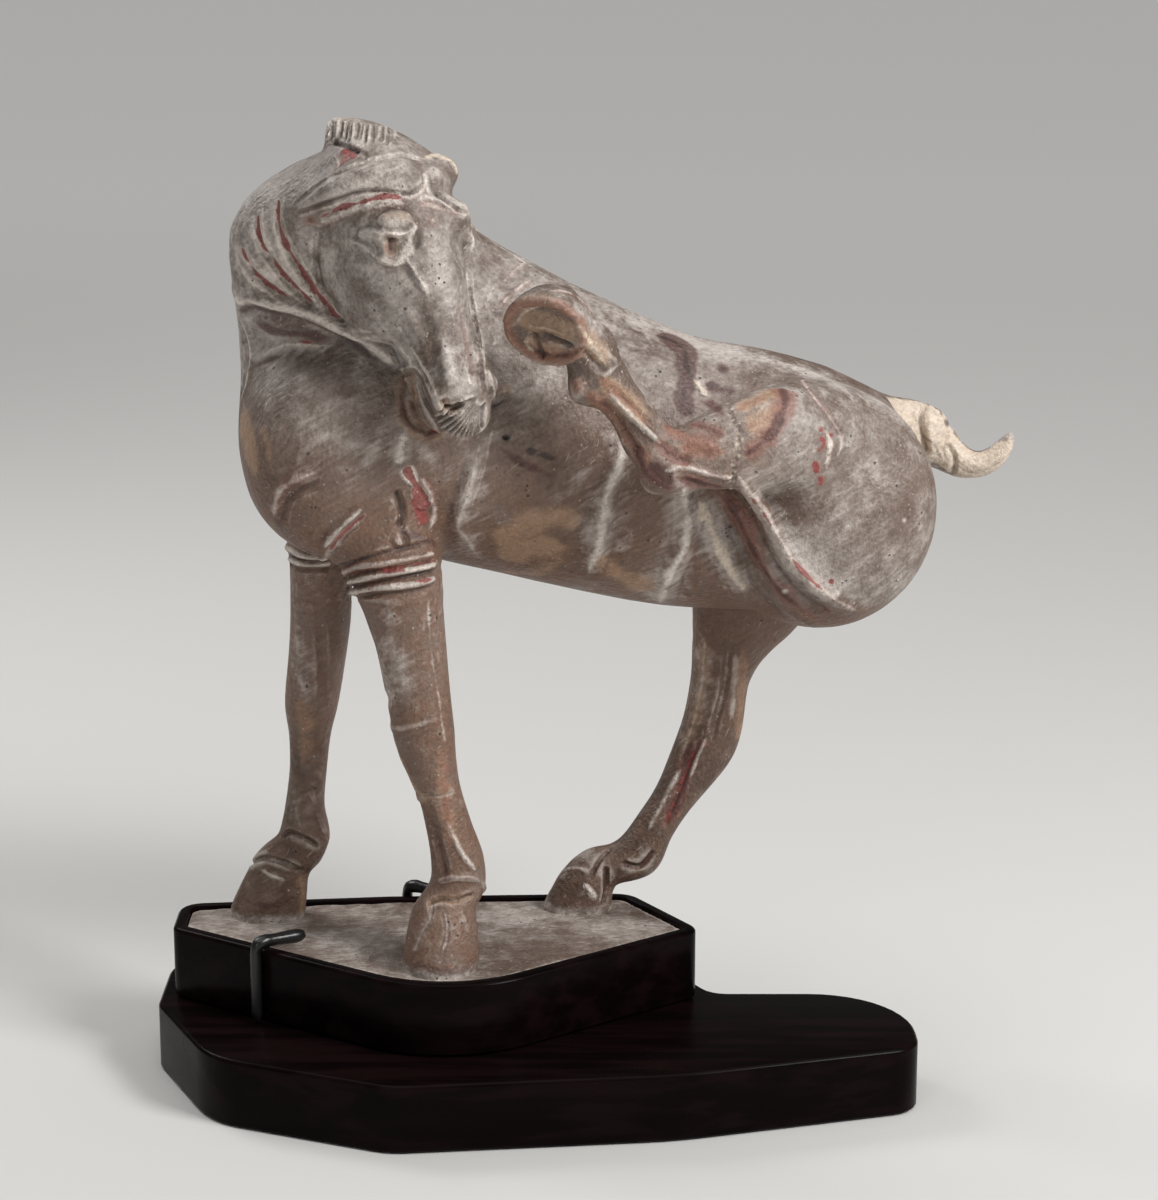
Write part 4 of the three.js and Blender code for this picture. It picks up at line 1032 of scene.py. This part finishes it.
def leg_lines() -> list[Line]:
    """Rings over the knees, tendons, joints, cracks and worn paint on the standing legs."""
    ring_1 = ((341, 574), (356, 567), (381, 564), (419, 557), (434, 553))
    ring_2 = ((347, 582), (377, 576), (403, 571), (419, 568), (436, 564))
    ring_3 = ((351, 592), (377, 588), (411, 585), (436, 578))
    far_ring = ((288, 558), (299, 563), (315, 564), (331, 563))
    above_rings = ((333, 568), (348, 564), (365, 558), (386, 552), (409, 547), (432, 541))
    return [
        line(ring_1, 1.3, 1.1, 0.06, rose=1.2, slip=0.5),
        line(shifted(ring_1, 2, 6), 0.8, -1.4, 0.06, red=0.5),
        line(ring_2, 1.3, 1.2, 0.06, slip=1.0),
        line(((381, 573), (405, 569)), red=0.7),
        line(shifted(ring_2, 2, 6), 0.9, -1.5, 0.06, stain=0.2, red=0.2),
        line(ring_3, 1.3, 1.2, 0.06, slip=1.0),
        line(((411, 582), (432, 579)), red=0.6),
        spot(370, 588, red=0.7),
        line(above_rings, 0.8, -1.2, 0.1, stain=0.2),
        line(shifted(ring_3, 1, 6), 0.9, -0.9, 0.1, stain=0.0),
        line(((287, 547), (304, 556), (328, 558)), 1.3, 1.2, 0.05, slip=0.9),
        line(shifted(far_ring, 0, -3), 0.8, -1.2, 0.05, stain=0.1),
        line(far_ring, 1.2, 1.0, 0.05, slip=0.8),
        line(shifted(far_ring, 0, 6), 0.9, -0.9, 0.05, stain=0.0),
        line(((358, 605), (366, 645), (378, 695), (388, 735)), 2.2, -0.7, 0.3, haze=3.0),
        line(((428, 600), (432, 650), (440, 700), (445, 740)), 1.6, -0.7, 0.3, slip=-0.1),
        line(((385, 610), (398, 660), (410, 700)), haze=2.5),
        line(((382, 722), (396, 728), (415, 726), (440, 716)), 1.6, 0.7, 0.3),
        line(((392, 750), (405, 776), (420, 802)), 2.6, 0.8, 0.3, ochre=2.0),
        line(((410, 790), (425, 795), (440, 797), (453, 792)), 0.6, -0.8, 0.1, stain=0.0, cream=0.2),
        line(((440, 752), (444, 785), (447, 815), (452, 845)), rose=1.5, ochre=2.4),
        line(((443, 762), (448, 772), (444, 782)), red=-0.1, rose=1.8),
        line(((446, 820), (460, 850), (476, 872)), 1.4, 0.9, 0.2, slip=0.6),
        line(((432, 822), (440, 850), (446, 878)), 1.8, -1.1, 0.2, umber=0.8),
        line(((437, 882), (455, 878), (478, 880), (486, 892)), 1.4, 1.0, 0.1, umber=0.5),
        line(((428, 903), (440, 899), (455, 900), (474, 895)), 0.9, -1.5, 0.05, stain=0.3, ochre=1.5),
        line(((432, 903), (430, 918), (420, 935), (414, 950)), 0.6, -0.7, 0.1, slip=0.4),
        line(((445, 915), (447, 935), (440, 960)), 0.8, -0.6, 0.2, slip=0.0, umber=0.4),
        line(((414, 962), (435, 970), (460, 972), (474, 960)), umber=1.0, cream=-0.2),
        line(((300, 700), (305, 730), (303, 760)), rose=1.0, ochre=2.5),
        line(((296, 620), (300, 660), (303, 695)), 1.4, 0.6, 0.3, haze=1.5),
        line(((318, 600), (322, 660), (322, 720)), 1.6, -0.8, 0.3),
        line(((290, 790), (297, 815), (303, 840)), haze=2.0, slip=-0.2),
        line(((692, 740), (682, 785), (668, 826)), umber=2.6, rose=3.5),
        line(((311, 790), (318, 815), (326, 835)), 1.3, 0.8, 0.2, umber=1.0),
        line(((282, 838), (290, 832), (305, 838), (318, 846)), 0.8, -1.1, 0.1, stain=0.0),
        line(((244, 866), (262, 858), (282, 862), (302, 872)), 1.0, -1.4, 0.1, stain=0.0, slip=0.3),
        line(((262, 870), (272, 876), (285, 880)), 1.0, 0.6, 0.2, haze=2.0, slip=0.3),
        line(((240, 898), (262, 905), (290, 905)), umber=1.0, slip=-0.4),
        line(((300, 875), (303, 895), (300, 912)), ochre=2.0),
        line(((700, 740), (692, 757), (685, 775), (676, 798), (664, 828)), 0.9, -0.8, 0.1, red=0.6, rose=1.4),
        line(((706, 738), (698, 756), (690, 776)), 1.0, 0.6, 0.2, slip=0.4),
        line(((698, 735), (704, 742), (713, 747)), red=0.2, rose=1.2),
        line(((728, 650), (724, 690), (716, 720), (711, 742)), 1.3, -1.4, 0.2, slip=0.3, stain=-0.3),
        line(((737, 650), (734, 690), (730, 722)), 1.5, 0.8, 0.2, haze=2.0),
        line(((742, 650), (742, 690), (740, 725), (742, 745)), ochre=2.5, rose=0.4),
        line(((705, 640), (702, 680), (694, 720), (680, 760)), haze=7.0, slip=0.4, ochre=2.5),
        line(((680, 770), (664, 800), (648, 830)), 1.4, 0.7, 0.2, slip=0.4),
        line(((655, 850), (640, 866), (620, 862)), 1.0, -1.5, 0.2, umber=1.2),
        line(((612, 848), (600, 860), (590, 880)), 0.8, -1.3, 0.2, stain=0.0),
        line(((583, 884), (590, 890), (595, 900)), slip=1.5),
        line(((548, 880), (556, 862), (568, 852)), ochre=2.0, umber=0.5),
        line(((606, 866), (606, 890), (603, 905)), 1.0, -1.5, 0.1, stain=0.4),
        line(((560, 872), (575, 868), (590, 872)), 0.8, 0.5, 0.2, haze=2.0),
    ]


def lifted_leg_lines() -> list[Line]:
    """The raised leg's tendons and joint, and the hoof's sole with its frog and crust."""
    middle_u, middle_v, half_width, half_height = 546.0, 331.0, 40.0, 28.0
    rim = []
    for i in range(25):
        turn = 2.0 * math.pi * i / 24
        across = half_width * math.cos(turn) + 3.0 * math.sin(turn)
        down = half_height * math.sin(turn) + 5.0 * math.cos(turn)
        rim.append((middle_u + across, middle_v + down))
    return [
        line(tuple(rim), 1.5, 0.4, 0.0, ochre=2.4, rose=2.8),
        line(tuple(shifted(tuple(rim[2:12]), 2, -3)), 1.1, -0.6, 0.1, umber=0.6),
        line(((518, 324), (540, 322), (560, 328), (574, 340)), ochre=5.0),
        line(((522, 342), (540, 350), (562, 350)), ochre=5.0),
        line(((516, 322), (530, 318), (548, 316), (566, 322), (578, 334)), 2.6, -0.8, 0.2, umber=-0.6),
        line(((520, 342), (535, 352), (552, 355), (570, 352)), 2.4, -0.9, 0.2, umber=-0.6),
        line(((530, 326), (548, 328), (566, 334)), 2.0, 0.8, 0.2, cream=0.4),
        line(((534, 332), (538, 345), (543, 360)), 1.1, -1.6, 0.15, umber=0.6, stain=-0.1),
        line(((540, 332), (556, 339), (574, 347)), 0.9, -1.4, 0.2, umber=0.4, stain=-0.2),
        line(((546, 340), (551, 347), (556, 355)), 1.7, 1.0, 0.2, rose=1.0, ochre=1.0),
        line(((514, 326), (526, 312), (545, 306), (564, 309)), cream=0.3),
        line(((528, 336), (526, 346), (532, 352)), cream=0.4),
        spot(562, 322, cream=0.2, slip=0.4),
        line(((585, 392), (608, 412), (630, 442), (650, 470)), ochre=3.5, rose=3.0),
        line(((600, 378), (625, 400), (650, 425)), ochre=4.0, rose=1.5),
        line(((680, 448), (700, 450), (722, 452)), rose=2.5, ochre=2.0),
        line(((575, 320), (592, 345), (606, 365)), ochre=5.0, cream=1.0, haze=4.0),
        line(((577, 383), (578, 389)), 2.6, 1.2, 0.0, rose=2.2, ochre=1.0),
        spot(585, 383, rose=1.6, slip=0.4),
        line(((584, 350), (594, 362), (607, 372)), 1.3, -1.4, 0.2, stain=-0.2),
        line(((592, 340), (604, 352), (618, 362)), 1.6, 0.9, 0.2, haze=2.5),
        line(((602, 376), (612, 370), (621, 362)), 1.2, 0.5, 0.2, slip=0.1),
        line(((610, 394), (628, 412), (647, 431), (660, 443)), 1.4, 1.3, 0.2, slip=0.8),
        line(((616, 392), (634, 409), (654, 428)), 1.1, -0.8, 0.2, rose=1.4),
        line(((600, 400), (616, 418), (630, 438), (641, 458)), 1.6, -1.3, 0.2, rose=1.8, umber=0.8),
        line(((589, 392), (602, 404), (614, 420)), 1.2, 0.6, 0.2, rose=2.2),
        line(((636, 446), (644, 466), (656, 482), (672, 488)), 1.4, 0.8, 0.1, umber=2.0, rose=3.0),
        line(((650, 462), (660, 478), (672, 484)), umber=3.4, stain=0.2),
        line(((655, 440), (672, 455), (690, 464)), 1.8, -1.0, 0.2, rose=3.0, umber=0.2),
        line(((664, 428), (690, 440), (718, 448)), 2.0, 0.7, 0.2, rose=4.0, ochre=1.5),
        line(((690, 424), (708, 428), (724, 436)), rose=3.0, umber=0.6),
        line(((666, 471), (682, 467), (711, 474), (733, 478)), 1.2, 1.1, 0.2, rose=1.2, slip=0.6),
        line(((680, 478), (700, 484), (722, 488)), 1.0, -0.9, 0.2, umber=1.4, rose=3.0),
        line(((551, 290), (568, 293), (583, 303), (596, 318)), 1.2, 0.6, 0.2, slip=0.3, rose=1.0),
        line(((560, 300), (574, 308), (584, 320)), 0.7, -0.7, 0.2, stain=-0.3),
    ]


def tail_lines() -> list[Line]:
    """The tail's binding and its cream paint with dark specks."""
    tail = ((896, 412), (912, 420), (930, 432), (950, 452), (975, 468), (1000, 460), (1013, 440))
    return [
        line(tail, ends=0.2, cream=9.5),
        line(((918, 452), (940, 462), (975, 478)), stain=-0.5),
        line(((925, 404), (921, 424), (926, 452)), 1.0, -1.9, 0.1, stain=0.3),
        line(((932, 402), (929, 424), (933, 454)), 1.3, 0.9, 0.1),
        line(((941, 410), (948, 430), (941, 454)), 1.0, -1.7, 0.1, stain=-0.2, rose=0.5),
        line(((957, 412), (967, 428), (961, 442)), 1.0, -1.4, 0.1, stain=-0.2),
        line(((948, 444), (955, 458), (952, 474)), 1.0, -1.6, 0.1, stain=0.3),
        line(((903, 405), (915, 420), (918, 440)), 0.9, -0.8, 0.2, rose=0.2),
        line(((922, 436), (934, 444), (940, 456)), stain=0.4),
        line(((960, 470), (980, 474), (1000, 462)), 0.8, -0.6, 0.1, stain=0.0),
        line(((964, 462), (984, 466), (1004, 450)), 0.8, 0.5, 0.2),
    ]


HEAD_BACK_MM = -8.0
NECK_ROOT_MM = 290.0
LEG_TOP_MM = 250.0


def in_head(points: np.ndarray) -> np.ndarray:
    """How far inside the head and neck points are, in millimetres."""
    return np.minimum(HEAD_BACK_MM - points[:, 0], points[:, 2] - NECK_ROOT_MM)


@dataclass(frozen=True)
class Zone:
    """A stretch of the clay that is kept as a piece of its own, so that its relief stays fine."""

    name: str
    inside: Callable[[np.ndarray], np.ndarray]


ZONES = (
    Zone("clay_head", in_head),
    Zone("clay_trunk", lambda points: np.minimum(points[:, 2] - LEG_TOP_MM, -in_head(points))),
    Zone("clay_legs", lambda points: LEG_TOP_MM - points[:, 2]),
)


def triangles_in(mesh: bpy.types.Mesh) -> int:
    """How many triangles a mesh has."""
    return sum(len(polygon.vertices) - 2 for polygon in mesh.polygons)


class ClayWork:
    """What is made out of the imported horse's clay."""

    def dress(self, piece: bpy.types.Object, clay: bpy.types.Material) -> None:
        """Gives a piece its material and its place in the frame.

        Args:
            piece: The piece.
            clay: The material.
        """
        piece.data.materials.append(clay)
        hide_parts("pottery_horse")
        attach(piece, "root")


@dataclass
class ClayHorse(ClayWork):
    """The fired clay horse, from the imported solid's form, worked finer."""

    slab_top_mm: float = 62.8
    cut_gap_mm: float = 0.15
    hoof_root_mm: float = 4.0
    smoothings: int = 22
    hollow_rounds: int = 30
    voxel_mm: float = 0.75
    triangles: int = 190000
    overlap_mm: float = 3.0
    sink_mm: float = 0.25
    camera: StudioCamera = field(default_factory=StudioCamera)

    def rough_out(self) -> bpy.types.Object:
        """Copies the solid without its slab, rounds it and makes it dense.

        Returns:
            The clay before any line is worked.
        """
        piece = copy_of("pottery_horse", "clay_form")
        bpy.ops.object.mode_set(mode="EDIT")
        bpy.ops.mesh.select_all(action="SELECT")
        cut = (0.0, 0.0, (self.slab_top_mm + self.cut_gap_mm) * MM)
        root = (0.0, 0.0, -self.hoof_root_mm * MM)
        bpy.ops.mesh.bisect(plane_co=cut, plane_no=(0, 0, 1), clear_inner=True, use_fill=False)
        bpy.ops.mesh.extrude_edges_move(TRANSFORM_OT_translate={"value": root})
        bpy.ops.mesh.select_all(action="SELECT")
        bpy.ops.mesh.fill_holes(sides=0)
        bpy.ops.mesh.normals_make_consistent(inside=False)
        bpy.ops.object.mode_set(mode="OBJECT")
        apply_modifier(piece, "SUBSURF", levels=2, render_levels=2)
        apply_modifier(piece, "REMESH", mode="VOXEL", voxel_size=self.voxel_mm * MM)
        apply_modifier(piece, "SMOOTH", factor=0.5, iterations=self.smoothings)
        log.info("clay form: %d points", len(piece.data.vertices))
        return piece

    def part_off(self, form: bpy.types.Object, zone: Zone) -> bpy.types.Object:
        """One zone of the worked clay, a little longer than the zone and sunk where it runs on.

        Args:
            form: The whole worked clay.
            zone: The zone that is kept.

        Returns:
            The zone's piece, closed at its cut.
        """
        mesh = form.data.copy()
        mesh.name = zone.name
        piece = bpy.data.objects.new(zone.name, mesh)
        bpy.context.scene.collection.objects.link(piece)
        points = read_points(mesh)
        inside = zone.inside(points)
        over = np.clip(-inside / self.overlap_mm, 0.0, 1.0)
        write_points(mesh, points - read_normals(mesh) * (self.sink_mm * over**2)[:, None])
        mesh.vertices.foreach_set("select", inside < -self.overlap_mm)
        select_only(piece)
        bpy.ops.object.mode_set(mode="EDIT")
        bpy.ops.mesh.select_mode(type="VERT")
        bpy.ops.mesh.delete(type="VERT")
        bpy.ops.mesh.select_all(action="SELECT")
        bpy.ops.mesh.fill_holes(sides=0)
        bpy.ops.object.mode_set(mode="OBJECT")
        apply_modifier(piece, "DECIMATE", ratio=min(1.0, self.triangles / triangles_in(mesh)))
        return piece

    def build(self) -> list[bpy.types.Object]:
        """Works the clay.

        Returns:
            Its pieces, one for each zone.
        """
        form = self.rough_out()
        skin = ClaySkin(form, self.camera)
        traced = skin.work(head_lines() + trunk_lines() + leg_lines() + lifted_leg_lines() + tail_lines())
        hollow = relief(form.data, self.hollow_rounds)
        layer = form.data.attributes.new(HOLLOW, "FLOAT", "POINT")
        layer.data.foreach_set("value", hollow.astype(np.float32))
        pieces = [self.part_off(form, zone) for zone in ZONES]
        for piece in pieces:
            paint(piece.data, traced)
            select_only(piece)
            bpy.ops.object.shade_smooth_by_angle(angle=math.radians(70))
            log.info("%s: %d triangles", piece.name, triangles_in(piece.data))
        bpy.data.objects.remove(form)
        return pieces


@dataclass
class ClaySlab(ClayWork):
    """The slab that the horse was made on, uneven and soft at its edges."""

    bottom_mm: float = 50.8
    top_mm: float = 62.8
    kept_mm: float = 2.0
    voxel_mm: float = 1.6
    wave_mm: float = 0.35
    wave_depth_mm: float = 3.0
    broad_wave: float = 0.045
    fine_wave: float = 0.16

    def build(self) -> list[bpy.types.Object]:
        """Cuts the slab out of the solid and makes its top uneven.

        Returns:
            The slab alone.
        """
        piece = copy_of("pottery_horse", "clay_slab")
        bpy.ops.object.mode_set(mode="EDIT")
        bpy.ops.mesh.select_all(action="SELECT")
        cut = (0.0, 0.0, (self.bottom_mm + self.kept_mm) * MM)
        bpy.ops.mesh.bisect(plane_co=cut, plane_no=(0, 0, 1), clear_outer=True, use_fill=True)
        rise = (self.top_mm - self.bottom_mm - self.kept_mm) * MM
        bpy.ops.mesh.extrude_region_move(TRANSFORM_OT_translate={"value": (0, 0, rise)})
        bpy.ops.object.mode_set(mode="OBJECT")
        apply_modifier(piece, "REMESH", mode="VOXEL", voxel_size=self.voxel_mm * MM)
        apply_modifier(piece, "SMOOTH", factor=0.5, iterations=2)
        points = read_points(piece.data)
        for i, point in enumerate(points):
            place = Vector(point)
            wave = noise.noise(place * self.broad_wave) + 0.5 * noise.noise(place * self.fine_wave)
            points[i, 2] += self.wave_mm * (wave - 1.0) * (point[2] > self.top_mm - self.wave_depth_mm)
        write_points(piece.data, points)
        paint(piece.data, [])
        layer = piece.data.attributes.new(HOLLOW, "FLOAT", "POINT")
        layer.data.foreach_set("value", relief(piece.data, 6).astype(np.float32))
        select_only(piece)
        bpy.ops.object.shade_smooth()
        return [piece]


@dataclass
class StandBoard:
    """One of the stand's boards, with its edges softened."""

    node: str
    name: str
    bevel_mm: float = 0.4
    corner_deg: float = 25.0

    def build(self) -> list[bpy.types.Object]:
        """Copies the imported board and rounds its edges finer.

        Returns:
            The board alone.
        """
        piece = copy_of(self.node, self.name)
        bpy.ops.object.mode_set(mode="EDIT")
        bpy.ops.mesh.select_all(action="SELECT")
        bpy.ops.mesh.dissolve_limited(angle_limit=math.radians(0.5))
        bpy.ops.object.mode_set(mode="OBJECT")
        width, corner = self.bevel_mm * MM, math.radians(self.corner_deg)
        apply_modifier(piece, "BEVEL", width=width, segments=2, limit_method="ANGLE", angle_limit=corner)
        select_only(piece)
        bpy.ops.object.shade_smooth_by_angle(angle=math.radians(35))
        return [piece]

    def dress(self, piece: bpy.types.Object, wood: bpy.types.Material) -> None:
        """Gives the board its material and its place in the frame.

        Args:
            piece: The board.
            wood: The material.
        """
        piece.data.materials.append(wood)
        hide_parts(self.node)
        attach(piece, "root")


@dataclass
class HoldingClip:
    """A bent rod that holds the slab down in the collar."""

    node: str
    name: str

    def build(self) -> list[bpy.types.Object]:
        """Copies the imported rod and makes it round.

        Returns:
            The clip alone.
        """
        piece = copy_of(self.node, self.name)
        apply_modifier(piece, "SUBSURF", levels=2, render_levels=2)
        select_only(piece)
        bpy.ops.object.shade_smooth()
        return [piece]

    def dress(self, piece: bpy.types.Object, coating: bpy.types.Material) -> None:
        """Gives the clip its material and its place in the frame.

        Args:
            piece: The clip.
            coating: The material.
        """
        piece.data.materials.append(coating)
        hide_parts(self.node)
        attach(piece, "root")


@dataclass(frozen=True)
class SoftLight:
    """A broad soft lamp aimed at the figure."""

    name: str
    place: tuple[float, float, float]
    size: float
    watts: float
    target: tuple[float, float, float] = (0.0, 0.04, 0.22)

    def build(self) -> bpy.types.Object:
        """Adds the lamp.

        Returns:
            The lamp.
        """
        data = bpy.data.lights.new(self.name, "AREA")
        data.size, data.energy = self.size, self.watts
        lamp = bpy.data.objects.new(self.name, data)
        lamp.location = self.place
        aim = Vector(self.target) - Vector(self.place)
        lamp.rotation_euler = aim.to_track_quat("-Z", "Y").to_euler()
        bpy.context.scene.collection.objects.link(lamp)
        return lamp


@dataclass
class Studio:
    """The pale floor, the lamps and the pale room round them."""

    room: Colour = (0.78, 0.76, 0.74)
    room_strength: float = 0.13
    sky_watts: float = 1.1
    sky_angle_deg: float = 55.0
    floor_size: float = 60.0
    floor_z: float = -0.0002
    lamps: tuple[SoftLight, ...] = (
        SoftLight("key_lamp", (1.15, -0.75, 1.2), 0.55, 27.0),
        SoftLight("fill_lamp", (-0.75, -1.5, 0.75), 0.45, 2.6),
        SoftLight("rim_lamp", (-0.9, 0.7, 1.1), 0.5, 6.5),
    )

    def build(self) -> None:
        """Lays the floor and hangs the lamps."""
        bpy.ops.object.select_all(action="DESELECT")
        bpy.ops.mesh.primitive_plane_add(size=self.floor_size, location=(0.0, 0.0, self.floor_z))
        floor = bpy.context.active_object
        floor.name = "floor"
        floor.data.materials.append(PlainFloor().build())
        world = bpy.data.worlds.new("pale_room")
        world.use_nodes = True
        backdrop = world.node_tree.nodes["Background"]
        backdrop.inputs["Color"].default_value = (*self.room, 1.0)
        backdrop.inputs["Strength"].default_value = self.room_strength
        bpy.context.scene.world = world
        sky = bpy.data.lights.new("overhead_lamp", "SUN")
        sky.energy = self.sky_watts
        sky.angle = math.radians(self.sky_angle_deg)
        overhead = bpy.data.objects.new("overhead_lamp", sky)
        overhead.location = (0.0, 0.0, 2.0)
        bpy.context.scene.collection.objects.link(overhead)
        bpy.context.scene.view_settings.view_transform = "Standard"
        for lamp in self.lamps:
            lamp.build()


def main() -> None:
    """Builds the figure, its stand and the studio."""
    logging.basicConfig(level=logging.INFO, format="%(message)s")
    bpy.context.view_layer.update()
    clay = PaintedClay().build()
    wood = DarkHardwood().build()
    coating = BlackCoating().build()
    parts = [
        (ClayHorse(), clay),
        (ClaySlab(), clay),
        (StandBoard("stand_collar", "collar_board"), wood),
        (StandBoard("stand_plinth", "plinth_board"), wood),
        (HoldingClip("left_clip", "left_holding_clip"), coating),
        (HoldingClip("rear_clip", "rear_holding_clip"), coating),
    ]
    for part, material in parts:
        for piece in part.build():
            part.dress(piece, material)
            log.info("built %s", piece.name)
    Studio().build()
    StudioCamera().build()


if __name__ == "__main__":
    main()
